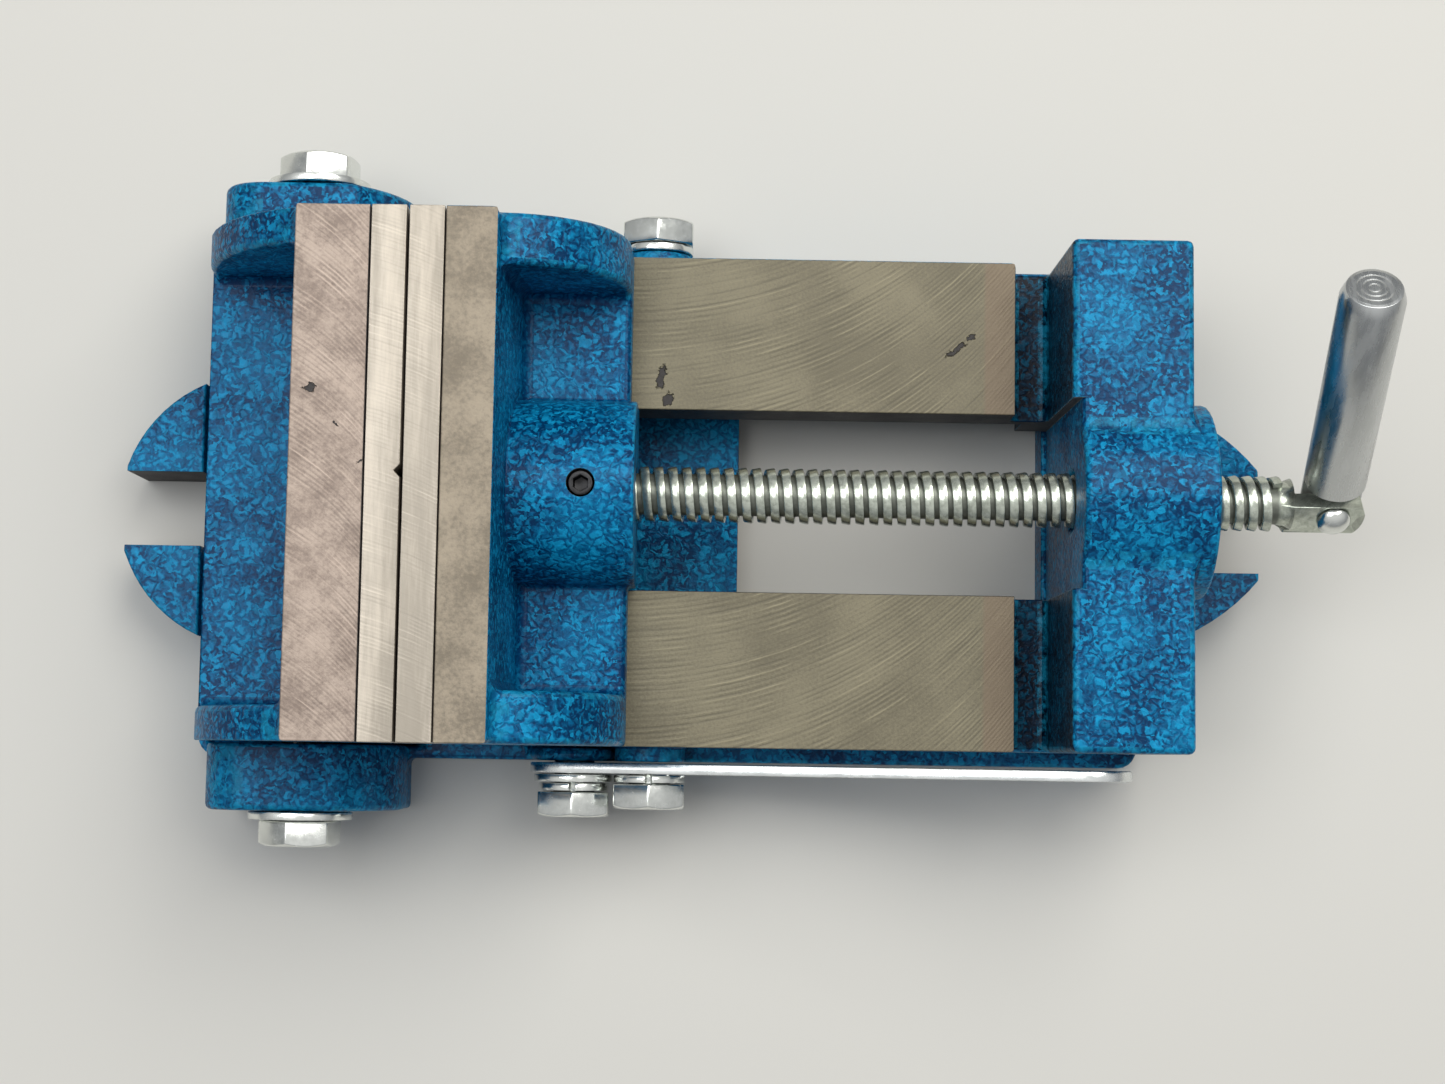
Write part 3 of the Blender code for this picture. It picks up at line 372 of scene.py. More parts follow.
@dataclass(frozen=True)
class Pit:
    """One blowhole in a machined casting face, with its angle in degrees."""

    x: float
    y: float
    angle: float
    length: float
    width: float


@dataclass(frozen=True)
class Arcs:
    """Marks of a turning cutter, whose centre moves along Y at one X."""

    centre: float
    radius: float
    side: float
    feed: float
    depth: float
    contrast: float
    # groove darkens the cutter grooves as painted shade; glint brightens the ridges as painted
    # highlight.
    groove: float = 0.5
    glint: float = 1.45


@dataclass(frozen=True)
class MetalLook:
    """A bare metal finish. Where it has a band, that begins within band_x."""

    dark: Colour
    light: Colour
    roughness: float
    metallic: float
    fine: float
    coarse: float
    relief: float
    grain_stretch: tuple[float, float, float] = (1.0, 1.0, 1.0)
    arcs: Arcs | None = None
    pits: tuple[Pit, ...] = ()
    pit_colour: Colour = (0.012, 0.009, 0.008)
    pit_depth: float = 0.2
    band_x: Span | None = None
    band_colour: Colour = (0.175, 0.120, 0.078)
    band_share: float = 0.55


@dataclass(frozen=True)
class EnamelLook:
    """The hammered enamel's colours and dimples."""

    deep: Colour
    body: Colour
    bright: Colour
    rubbed: Colour = (0.010, 0.270, 0.450)
    # sunk is painted shade in the inner corners.
    sunk: Colour = (0.0003, 0.022, 0.085)
    edge_share: float = 0.55
    cell: float = 1.3
    dimple: float = 0.085
    metallic: float = 0.05
    specular: float = 0.08
    coat: float = 0.07
    coat_roughness: float = 0.16


@dataclass(frozen=True)
class ThreadLook:
    """The screw's finish: bright crests, and painted shade darkening the roots."""

    dark: Colour = (0.36, 0.39, 0.33)
    light: Colour = (0.60, 0.64, 0.56)
    # Painted shade for the thread roots.
    root_shade: Colour = (0.055, 0.058, 0.050)
    root_radius: Span = (3.15, 3.7)
    thread_end: Span = (88.0, 88.6)
    root_shade_share: float = 0.75
    roughness: Span = (0.24, 0.5)
    metallic: float = 0.9
    fine: float = 1.2
    coarse: float = 0.15
    relief: float = 0.012


WAY_PITS = (
    Pit(-5.3, 19.2, 78, 3.6, 1.15),
    Pit(-4.3, 15.7, 60, 2.2, 1.15),
    Pit(40.4, 24.1, 36, 3.6, 0.85),
    Pit(42.9, 26.2, 30, 1.5, 0.7),
)
TOP_PITS = (
    Pit(-54.2, 11.6, 12, 1.5, 0.9),
    Pit(-57.4, -0.8, -20, 0.9, 0.5),
    Pit(-47.0, 1.2, 5, 1.1, 0.4),
    Pit(-50.6, 6.4, -30, 0.6, 0.5),
)
LOOKS = {
    Surface.ENAMEL: EnamelLook(
        deep=(0.0002, 0.030, 0.095), body=(0.0008, 0.100, 0.240), bright=(0.006, 0.305, 0.575)),
    # Darker enamel colours: painted shade for the trench by the rear block.
    Surface.SHADED_ENAMEL: EnamelLook(
        deep=(0.0001, 0.003, 0.011), body=(0.0003, 0.014, 0.038), bright=(0.001, 0.100, 0.190)),
    Surface.WAY: MetalLook(
        (0.112, 0.097, 0.060), (0.195, 0.172, 0.110), roughness=0.52, metallic=0.25,
        fine=2.2, coarse=0.07, relief=0.03, pits=WAY_PITS, band_x=(44.6, 45.4),
        arcs=Arcs(centre=-12.0, radius=78.0, side=1.0, feed=0.82, depth=0.03, contrast=0.5)),
    Surface.FIXED_TOP: MetalLook(
        (0.190, 0.142, 0.113), (0.400, 0.318, 0.260), roughness=0.46, metallic=0.3,
        fine=1.5, coarse=0.2, relief=0.06, pits=TOP_PITS,
        arcs=Arcs(centre=-78.0, radius=42.0, side=-1.0, feed=0.75, depth=0.03, contrast=0.38)),
    Surface.MOVING_TOP: MetalLook(
        (0.150, 0.124, 0.088), (0.310, 0.258, 0.190), roughness=0.5, metallic=0.3,
        fine=1.3, coarse=0.16, relief=0.07),
    Surface.RAW_CAST: MetalLook(
        (0.022, 0.021, 0.024), (0.085, 0.080, 0.076), roughness=0.66, metallic=0.3,
        fine=1.4, coarse=0.15, relief=0.12),
    Surface.PLATE: MetalLook(
        (0.240, 0.210, 0.168), (0.470, 0.416, 0.344), roughness=0.36, metallic=0.4,
        fine=0.5, coarse=0.1, relief=0.015, grain_stretch=(1.2, 0.12, 1.0),
        arcs=Arcs(centre=-62.0, radius=60.0, side=-1.0, feed=0.55, depth=0.01, contrast=0.22)),
    Surface.ZINC: MetalLook(
        (0.700, 0.720, 0.690), (0.820, 0.840, 0.810), roughness=0.2, metallic=1.0,
        fine=0.7, coarse=0.1, relief=0.006),
    Surface.STRAP: MetalLook(
        (0.700, 0.730, 0.730), (0.860, 0.880, 0.870), roughness=0.24, metallic=1.0,
        fine=0.5, coarse=0.05, relief=0.01, grain_stretch=(0.3, 1.0, 2.0)),
    Surface.THREAD: ThreadLook(),
    Surface.BAR: MetalLook(
        (0.480, 0.495, 0.495), (0.600, 0.615, 0.615), roughness=0.27, metallic=1.0,
        fine=0.8, coarse=0.05, relief=0.004, grain_stretch=(1.0, 0.2, 0.2)),
    Surface.BLACK: MetalLook(
        (0.006, 0.006, 0.007), (0.028, 0.028, 0.030), roughness=0.36, metallic=0.6,
        fine=1.0, coarse=0.2, relief=0.02),
}


@dataclass
class FinishShop:
    """Makes the material of every surface."""

    effects: SharedEffects = field(default_factory=SharedEffects)
    made: dict[Surface, bpy.types.Material] = field(default_factory=dict)

    def material(self, surface: Surface) -> bpy.types.Material:
        """Return the material of a surface, made once."""
        if surface not in self.made:
            material = bpy.data.materials.new(surface.value)
            material.use_nodes = True
            material.node_tree.nodes.clear()
            sheet = Sheet(material.node_tree)
            coords = sheet.add("ShaderNodeTexCoord").outputs["Object"]
            place = sheet.add("ShaderNodeMapping", {
                "Vector": coords, "Scale": (1000.0, 1000.0, 1000.0)}).outputs[0]
            look = LOOKS[surface]
            dress = {EnamelLook: self.enamel, MetalLook: self.metal, ThreadLook: self.thread}
            shader = sheet.add("ShaderNodeBsdfPrincipled", dress[type(look)](sheet, place, look))
            sheet.add("ShaderNodeOutputMaterial", {"Surface": shader.outputs[0]})
            self.made[surface] = material
        return self.made[surface]

    @staticmethod
    def bump(sheet: Sheet, height: Socket, depth: float) -> Socket:
        """Return the normal that a height gives, with its depth in millimetres."""
        return sheet.add("ShaderNodeBump", {
            "Height": height, "Strength": 1.0, "Distance": depth * MM}).outputs[0]

    def enamel(self, sheet: Sheet, place: Socket, look: EnamelLook) -> dict[str, object]:
        """Lay hammered enamel, paler on rubbed edges, with painted shade in inner corners.

        Args:
            sheet: Sheet on the material's tree.
            place: Place in millimetres.
            look: The enamel's colours and dimples.

        Returns:
            The inputs of the material's shader.
        """
        paint = sheet.effect(self.effects.hammer, {
            "Vector": place, "Cell": look.cell, "Deep": rgba(look.deep),
            "Body": rgba(look.body), "Bright": rgba(look.bright)})
        edge = sheet.add("ShaderNodeAttribute", attribute_name="edge").outputs["Fac"]
        rub = sheet.effect(self.effects.scuffs_and_corner_shade, {"Vector": place, "Edge": edge})
        # Rubbed outer edges turn paler, and inner corners get painted shade.
        colour = paint["Color"]
        for mask, tint in ((rub["Outer"], look.rubbed), (rub["Inner"], look.sunk)):
            share = sheet.math("MULTIPLY", mask, look.edge_share)
            colour = sheet.blend(share, colour, rgba(tint))
        return {
            "Base Color": colour, "Roughness": paint["Roughness"], "Metallic": look.metallic,
            "Specular IOR Level": look.specular, "Coat Weight": look.coat,
            "Coat Roughness": look.coat_roughness,
            "Normal": self.bump(sheet, paint["Height"], look.dimple)}

    def metal(self, sheet: Sheet, place: Socket, look: MetalLook) -> dict[str, object]:
        """Lay bare metal, with its cutter marks, band and pits.

        Args:
            sheet: Sheet on the material's tree.
            place: Place in millimetres.
            look: The finish's values.

        Returns:
            The inputs of the material's shader.
        """
        grain = sheet.effect(self.effects.grain, {
            "Vector": sheet.vector("MULTIPLY", place, look.grain_stretch), "Fine": look.fine,
            "Coarse": look.coarse, "Dark": rgba(look.dark), "Light": rgba(look.light)})
        colour = grain["Color"]
        height = sheet.math("MULTIPLY", grain["Height"], look.relief)
        if look.arcs is not None:
            marks = look.arcs
            arcs = sheet.effect(self.effects.arcs, {
                "Vector": place, "Centre X": marks.centre, "Radius": marks.radius,
                "Side": marks.side, "Feed": marks.feed})
            # The cutter marks are painted as shade in the grooves and as highlight on the ridges,
            # stronger in some bands.
            low = sheet.ramp(arcs["Lines"], 0.05, 0.5, marks.contrast, 0.0)
            colour = sheet.blend(low, colour, rgba(look.dark, marks.groove))
            high = sheet.math("MULTIPLY", sheet.ramp(arcs["Lines"], 0.62, 1.0, 0.0, marks.contrast),
                              sheet.ramp(arcs["Bands"], 0.35, 0.6, 0.5, 1.4))
            colour = sheet.blend(high, colour, rgba(look.light, marks.glint))
            height = sheet.math("ADD", height, sheet.math("MULTIPLY", arcs["Lines"], marks.depth))
        if look.band_x is not None:
            band = sheet.ramp(sheet.parts(place)["X"], *look.band_x, 0.0, look.band_share)
            colour = sheet.blend(band, colour, rgba(look.band_colour))
        for pit in look.pits:
            hole = sheet.effect(self.effects.blowhole, {
                "Vector": place, "Centre": (pit.x, pit.y, 0.0), "Angle": -math.radians(pit.angle),
                "Length": pit.length, "Width": pit.width})["Mask"]
            colour = sheet.blend(hole, colour, rgba(look.pit_colour))
            height = sheet.math("SUBTRACT", height, sheet.math("MULTIPLY", hole, look.pit_depth))
        return {
            "Base Color": colour, "Metallic": look.metallic,
            "Roughness": sheet.ramp(grain["Height"], 0.3, 0.7,
                                    look.roughness - 0.06, look.roughness + 0.08),
            "Normal": self.bump(sheet, height, 1.0)}

    def thread(self, sheet: Sheet, place: Socket, look: ThreadLook) -> dict[str, object]:
        """Lay the screw's finish by the distance from its axis.

        Args:
            sheet: Sheet on the material's tree.
            place: Place in millimetres.
            look: The finish's values.

        Returns:
            The inputs of the material's shader.
        """
        grain = sheet.effect(self.effects.grain, {
            "Vector": place, "Fine": look.fine, "Coarse": look.coarse,
            "Dark": rgba(look.dark), "Light": rgba(look.light)})
        parts = sheet.parts(place)
        rise = sheet.math("SUBTRACT", parts["Z"], SCREW_AXIS_Z / MM)
        radius = sheet.reach(rise, parts["Y"])
        # Painted shade darkens the roots, and stops past the thread's end.
        root = sheet.math("MULTIPLY", sheet.ramp(radius, *look.root_radius, look.root_shade_share, 0.0),
                          sheet.ramp(parts["X"], *look.thread_end, 1.0, 0.0))
        return {
            "Base Color": sheet.blend(root, grain["Color"], rgba(look.root_shade)),
            "Roughness": sheet.ramp(root, 0.0, 1.0, *look.roughness),
            "Metallic": look.metallic, "Normal": self.bump(sheet, grain["Height"], look.relief)}


class OpenMesh:
    """A mesh opened for work on its edges and faces, and written back afterwards."""

    def __init__(self, mesh: Mesh) -> None:
        """Open the mesh."""
        self.mesh = mesh
        self.work = bmesh.new()
        self.work.from_mesh(mesh)

    def __enter__(self) -> Work:
        """Return the open work."""
        return self.work

    def __exit__(self, *problem: object) -> None:
        """Write the work back and free it."""
        self.work.to_mesh(self.mesh)
        self.work.free()


def put_in_scene(name: str, data: bpy.types.ID) -> Piece:
    """Return a new object that shows the data, linked to the scene."""
    made = bpy.data.objects.new(name, data)
    bpy.context.scene.collection.objects.link(made)
    return made


def modified(piece: Piece) -> Mesh:
    """Return what the modifiers make of the piece's mesh, and take them off."""
    graph = bpy.context.evaluated_depsgraph_get()
    graph.update()
    made = bpy.data.meshes.new_from_object(piece.evaluated_get(graph))
    piece.modifiers.clear()
    return made


def lies_in(value: float, span: Span) -> bool:
    """Return whether a value lies between the ends of a span."""
    return span[0] < value < span[1]


def keep_modifiers(piece: Piece) -> None:
    """Turn what the modifiers make into the piece's own mesh."""
    made = modified(piece)
    old = piece.data
    made.name = old.name
    piece.data = made
    bpy.data.meshes.remove(old)


def tie(piece: Piece, body: str, slot: Slot, *nodes: str) -> None:
    """Tie a piece to its body and hide the solids that it stands for.

    Args:
        piece: The finished piece.
        body: Body that it rides on.
        slot: Material slot of the record; not used.
        nodes: Solids that it replaces.
    """
    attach(piece, body)
    if nodes:
        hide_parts(*nodes)
    LOG.info("piece %s: %d faces on %s", piece.name, len(piece.data.polygons), body)


@dataclass
class RefinedPiece:
    """A refined copy of one solid, with rounded edges and a finish for each face.

    The rounding is the full width in painted inner corners, and the share outer of
    it at painted outer edges. Edges of bare faces get the share crisp of it.
    """

    node: str
    name: str
    body: str
    slot: Slot
    surfaces: tuple[Surface, ...]
    rule: SurfaceRule | None = None
    rounding: float = 0.3 * MM
    crisp: float = 1.0
    outer: float = 1.0
    tight: Callable[[Vector], float] | None = None
    flat_faced: bool = False
    segments: int = 2
    sharp_angle: float = math.radians(38.0)
    smooth_angle: float = math.radians(28.0)

    def build(self, frame: dict, shop: FinishShop) -> None:
        """Make the piece, dress it and tie it to its body.

        Args:
            shop: Maker of the materials.
        """
        mesh = frame["nodes"][self.node].data.copy()
        mesh.name = self.name
        mesh.materials.clear()
        for surface in self.surfaces:
            mesh.materials.append(shop.material(surface))
        piece = put_in_scene(self.name, mesh)
        self.prepare(mesh)
        for _ in range(EASING_ROUNDS):
            crowded = crowded_places(self.rounded(piece))
            if not crowded:
                break
            ease_edges(mesh, crowded)
        piece.data = self.rounded(piece)
        piece.data.name = self.name
        self.mark_edges(piece.data)
        relay_flats(piece.data)
        self.shade(piece)
        tie(piece, self.body, self.slot, self.node)

    def prepare(self, mesh: Mesh) -> None:
        """Merge the loose triangles, assign finishes and weigh the edges to round."""
        with OpenMesh(mesh) as work:
            bmesh.ops.remove_doubles(work, verts=work.verts, dist=MERGE_DISTANCE)
            bmesh.ops.dissolve_limit(work, angle_limit=FLAT_ANGLE, verts=work.verts,
                                     edges=work.edges, delimit=set())
            work.normal_update()
            for face in work.faces if self.rule is not None else []:
                chosen = self.rule(face.calc_center_median() / MM, face.normal)
                face.material_index = self.surfaces.index(chosen)
            weights = work.edges.layers.float.new("bevel_weight_edge")
            for edge in work.edges:
                if len(edge.link_faces) == 2 and edge.calc_face_angle(0.0) >= self.sharp_angle:
                    edge[weights] = self.weight(edge)

    def weight(self, edge: Edge) -> float:
        """Return the share of the rounding that an edge gets."""
        share = 1.0
        if any(self.surfaces[face.material_index] not in PAINTED for face in edge.link_faces):
            share = self.crisp
        elif edge.calc_face_angle_signed(0.0) > 0:
            share = self.outer
        if self.tight is not None:
            share *= self.tight((edge.verts[0].co + edge.verts[1].co) / (2 * MM))
        return share

    def rounded(self, piece: Piece) -> Mesh:
        """Return a mesh of the piece with its weighed edges rounded."""
        bevel = piece.modifiers.new("round_edges", "BEVEL")
        bevel.width = self.rounding
        bevel.segments = self.segments
        bevel.limit_method = "WEIGHT"
        bevel.use_clamp_overlap = False
        bevel.miter_outer = "MITER_SHARP"
        bevel.loop_slide = False
        return modified(piece)

    def shade(self, piece: Piece) -> None:
        """Shade the roundings smooth while the flat faces stay flat."""
        piece.data.shade_smooth()
        piece.data.set_sharp_from_angle(angle=self.smooth_angle)
        if self.flat_faced:
            even = piece.modifiers.new("flat_faces", "WEIGHTED_NORMAL")
            even.weight = 100
            even.keep_sharp = True
            keep_modifiers(piece)

    def mark_edges(self, mesh: Mesh) -> None:
        """Store whether each face lies on a rounded outer or inner edge."""
        with OpenMesh(mesh) as work:
            work.normal_update()
            marks = work.faces.layers.float.new("edge")
            for face in work.faces:
                around = face.calc_perimeter()
                if around <= 0.0 or face.calc_area() / around > NARROW_SHARE * self.rounding:
                    continue
                turn = sum(edge.calc_face_angle_signed(0.0) for edge in face.edges)
                if abs(turn) > LEAST_TURN:
                    face[marks] = math.copysign(1.0, turn)


@dataclass
class Casting(RefinedPiece):
    """A painted casting, with softer corners than outer edges and nearly keen bare ones."""

    rounding: float = 1.5 * MM
    crisp: float = 0.12
    outer: float = 0.65
    flat_faced: bool = True
    segments: int = 3


def flat_regions(work: Work) -> list[list[Face]]:
    """Return the groups of faces that lie in one plane and have one finish."""
    left = set(work.faces)
    regions = []
    for seed in sorted(work.faces, key=lambda face: -face.calc_area()):
        if seed not in left:
            continue
        left.discard(seed)
        region = [seed]
        for here in region:
            near = [face for edge in here.edges for face in edge.link_faces if face in left]
            for face in near:
                same = face.material_index == seed.material_index
                if same and face in left and face.normal.angle(seed.normal, 4.0) < SAME_PLANE:
                    left.discard(face)
                    region.append(face)
        if len(region) > 1 or len(seed.verts) > 4:
            regions.append(region)
    return regions


def crosses(place: Vector, start: Vector, end: Vector) -> bool:
    """Return whether a ray from a place towards +X crosses a line."""
    if (start.y > place.y) == (end.y > place.y):
        return False
    share = (place.y - start.y) / (end.y - start.y)
    return place.x < start.x + share * (end.x - start.x)


@dataclass
class FlatRegion:
    """Faces in one plane, with new triangles for them between the rims round them.

    The crossings are the places where a rim runs into itself. Where there are any,
    there are no triangles.
    """

    faces: list[Face]
    triangles: list[list[Corner]]
    crossings: list[Vector]

    @classmethod
    def of(cls, faces: list[Face]) -> "FlatRegion":
        """Lay new triangles between the rims of a group of faces."""
        inside = set(faces)
        rim = [edge for face in faces for edge in face.edges
               if sum(near in inside for near in edge.link_faces) == 1]
        corners = list(dict.fromkeys(vertex for edge in rim for vertex in edge.verts))
        number = {vertex: index for index, vertex in enumerate(corners)}
        level = faces[0].normal.rotation_difference(Vector((0.0, 0.0, 1.0)))
        places = [(level @ vertex.co).to_2d() / MM for vertex in corners]
        height = (level @ corners[0].co).z
        lines = [(number[edge.verts[0]], number[edge.verts[1]]) for edge in rim]
        laid = delaunay_2d_cdt(places, lines, [], 1, 1e-5, True)
        crossings = [level.inverted() @ Vector((place.x * MM, place.y * MM, height))
                     for place, source in zip(laid[0], laid[3]) if len(source) != 1]
        triangles = []
        for triangle in [] if crossings else laid[2]:
            numbers = [laid[3][index][0] for index in triangle]
            middle = sum((places[index] for index in numbers), Vector((0.0, 0.0))) / 3
            if sum(crosses(middle, places[a], places[b]) for a, b in lines) % 2:
                triangles.append([corners[index] for index in numbers])
        return cls(faces, triangles, crossings)


def crowded_places(mesh: Mesh) -> list[Vector]:
    """Return where roundings run into each other on flat faces, and drop the mesh."""
    work = bmesh.new()
    work.from_mesh(mesh)
    work.normal_update()
    places = [place for faces in flat_regions(work) for place in FlatRegion.of(faces).crossings]
    work.free()
    bpy.data.meshes.remove(mesh)
    return places


def runs_on(edge: Edge, after: Edge, vertex: Corner) -> bool:
    """Return whether an edge goes on nearly straight in another at their vertex."""
    here = vertex.co - edge.other_vert(vertex).co
    there = after.other_vert(vertex).co - vertex.co
    return here.angle(there, math.pi) < STRAIGHT_ON


def is_near(edge: Edge, places: list[Vector]) -> bool:
    """Return whether an edge passes within reach of any of the places."""
    start, end = (vertex.co for vertex in edge.verts)
    for place in places:
        share = intersect_point_line(place, start, end)[1]
        if (start.lerp(end, min(1.0, max(0.0, share))) - place).length < CROWD_REACH:
            return True
    return False


def ease_edges(mesh: Mesh, crowded: list[Vector]) -> None:
    """Round the edges near crowded places less, and those that run on from them."""
    with OpenMesh(mesh) as work:
        weights = work.edges.layers.float["bevel_weight_edge"]
        eased = [edge for edge in work.edges if edge[weights] > 0.0 and is_near(edge, crowded)]
        known = set(eased)
        for edge in eased:
            for vertex in edge.verts:
                for after in vertex.link_edges:
                    if after not in known and after[weights] > 0.0 and runs_on(edge, after, vertex):
                        known.add(after)
                        eased.append(after)
        for edge in eased:
            edge[weights] *= EASING


def relay_flats(mesh: Mesh) -> None:
    """Lay the triangles of every flat region anew, so that none of them folds over."""
    with OpenMesh(mesh) as work:
        work.normal_update()
        for region in [FlatRegion.of(faces) for faces in flat_regions(work)]:
            if region.crossings:
                LOG.info("%s: a flat region is left as it is", mesh.name)
                continue
            finish = region.faces[0].material_index
            old = [face for face in region.faces if face.is_valid]
            bmesh.ops.delete(work, geom=old, context="FACES_ONLY")
            for corners in region.triangles:
                folded = work.faces.get(corners)
                if folded is not None:
                    work.faces.remove(folded)
                    continue
                work.faces.new(corners).material_index = finish
        loose = [edge for edge in work.edges if not edge.link_faces]
        bmesh.ops.delete(work, geom=loose, context="EDGES")
        bmesh.ops.delete(work, geom=[v for v in work.verts if not v.link_edges], context="VERTS")


@dataclass
class BaseFrame:
    """The slotted base, with its ears, lugs and crossbar."""

    body: str = "base_frame"
    rounding: float = 1.3 * MM
    crisp: float = 0.2
    outer: float = 0.7
    underside_z: float = 0.1
    slot_x: float = 77.0
    slot_y: float = -1.4
    slot_half: float = 7.8
    crossbar_x: float = 7.2
    ear_x: float = 78.0
    ear_z: float = 4.0
    ear_share: float = 0.45

    def surface_at(self, centre: Vector, normal: Vector) -> Surface:
        """Return the finish of a face of the base."""
        underside = centre.z < self.underside_z and normal.z < -FACING
        in_slot = abs(centre.x) > self.slot_x and abs(centre.y - self.slot_y) < self.slot_half
        crossbar_wall = abs(centre.x - self.crossbar_x) < NEAR and normal.x > FACING
        bare = underside or (in_slot and abs(normal.z) < ASIDE) or crossbar_wall
        return Surface.RAW_CAST if bare else Surface.ENAMEL

    def tight_at(self, place: Vector) -> float:
        """Return how much less an edge is rounded on the thin ears."""
        return self.ear_share if abs(place.x) > self.ear_x and place.z > self.ear_z else 1.0

    def build(self, frame: dict, shop: FinishShop) -> None:
        """Make and dress the base."""
        Casting("base", "base_casting", self.body, Slot.ENAMEL,
                (Surface.ENAMEL, Surface.RAW_CAST), self.surface_at, rounding=self.rounding,
                crisp=self.crisp, outer=self.outer, tight=self.tight_at).build(frame, shop)


@dataclass
class TiltingBody:
    """The hinged body: bed, fixed jaw and rear block."""

    body: str = "tilting_body"
    plate_rounding: float = 0.15 * MM
    trench_x: Span = (49.6, 56.0)
    trench_floor_z: float = 19.0
    way_x: Span = (-42.0, 50.5)
    underside_z: float = 16.0
    window_x: Span = (-40.5, 57.5)
    window_half: float = 19.6
    window_top_z: float = 26.0
    plate_seat_x: float = -46.4
    collar_x: float = 73.0
    collar_half: float = 17.0
    collar_share: float = 0.5

    def surface_at(self, centre: Vector, normal: Vector) -> Surface:
        """Return the finish of a face of the body."""
        # Faces in the trench between the bed's end and the block get the darker enamel as painted
        # shade.
        in_trench = lies_in(centre.x, self.trench_x) and abs(normal.y) < HALFWAY
        if in_trench and (normal.z < HALFWAY or centre.z < self.trench_floor_z):
            return Surface.SHADED_ENAMEL
        if normal.z > FACING and centre.z > JAW_TOP_Z:
            return Surface.FIXED_TOP
        if normal.z > FACING and abs(centre.z - WAY_Z) < NEAR and lies_in(centre.x, self.way_x):
            return Surface.WAY
        underside = normal.z < -FACING and centre.z < self.underside_z
        in_window = (abs(centre.y) < self.window_half and lies_in(centre.x, self.window_x)
                     and centre.z < self.window_top_z)
        plate_seat = abs(centre.x - self.plate_seat_x) < NEAR and normal.x > FACING
        bare = underside or (in_window and abs(normal.z) < HALFWAY) or plate_seat
        return Surface.RAW_CAST if bare else Surface.ENAMEL

    def tight_at(self, place: Vector) -> float:
        """Return how much less an edge is rounded on the short collar of the boss."""
        on_collar = place.x > self.collar_x and abs(place.y) < self.collar_half
        return self.collar_share if on_collar else 1.0

    def build(self, frame: dict, shop: FinishShop) -> None:
        """Make and dress the body and its jaw plate."""
        surfaces = (Surface.ENAMEL, Surface.FIXED_TOP, Surface.WAY, Surface.RAW_CAST,
                    Surface.SHADED_ENAMEL)
        Casting("vise_body", "tilting_casting", self.body, Slot.ENAMEL, surfaces,
                self.surface_at, tight=self.tight_at).build(frame, shop)
        RefinedPiece("fixed_jaw_plate", "fixed_plate", self.body, Slot.GROUND,
                     (Surface.PLATE,), rounding=self.plate_rounding,
                     flat_faced=True).build(frame, shop)


@dataclass
class SlidingJaw:
    """The moving jaw with its plate, keeper and set screw."""

    body: str = "sliding_jaw"
    plate_rounding: float = 0.15 * MM
    keeper_rounding: float = 0.25 * MM
    underside_z: float = 26.0
    plate_seat_x: float = -35.0
    set_screw_x: float = -16.4
    set_screw_half: float = 3.0
    boss_half: float = 14.8
    boss_end_x: float = -10.2
    boss_end_share: float = 0.4
    boss_foot_y: float = 13.0
    boss_foot_z: Span = (31.0, 32.3)
    boss_foot_share: float = 0.5

    def surface_at(self, centre: Vector, normal: Vector) -> Surface:
        """Return the finish of a face of the moving jaw."""
        if normal.z > FACING and centre.z > JAW_TOP_Z:
            return Surface.MOVING_TOP
        underside = centre.z < WAY_Z or (normal.z < -FACING and centre.z < self.underside_z)
        plate_seat = normal.x < -FACING and centre.x < self.plate_seat_x
        off = max(abs(centre.x - self.set_screw_x), abs(centre.y))
        hole_wall = off < self.set_screw_half and abs(normal.z) < ASIDE
        bare = underside or plate_seat or hole_wall
        return Surface.RAW_CAST if bare else Surface.ENAMEL

    def tight_at(self, place: Vector) -> float:
        """Return how much less an edge is rounded at the foot and the end of the boss."""
        if abs(place.y) > self.boss_half:
            return 1.0
        if place.x > self.boss_end_x:
            return self.boss_end_share
        at_foot = abs(place.y) > self.boss_foot_y and lies_in(place.z, self.boss_foot_z)
        return self.boss_foot_share if at_foot else 1.0

    def build(self, frame: dict, shop: FinishShop) -> None:
        """Make and dress the jaw's pieces."""
        surfaces = (Surface.ENAMEL, Surface.MOVING_TOP, Surface.RAW_CAST)
        Casting("moving_jaw", "sliding_casting", self.body, Slot.ENAMEL, surfaces,
                self.surface_at, tight=self.tight_at).build(frame, shop)
        RefinedPiece("moving_jaw_plate", "moving_plate", self.body, Slot.GROUND,
                     (Surface.PLATE,), rounding=self.plate_rounding,
                     flat_faced=True).build(frame, shop)
        RefinedPiece("keeper_plate", "keeper_strip", self.body, Slot.GROUND,
                     (Surface.PLATE,), rounding=self.keeper_rounding).build(frame, shop)


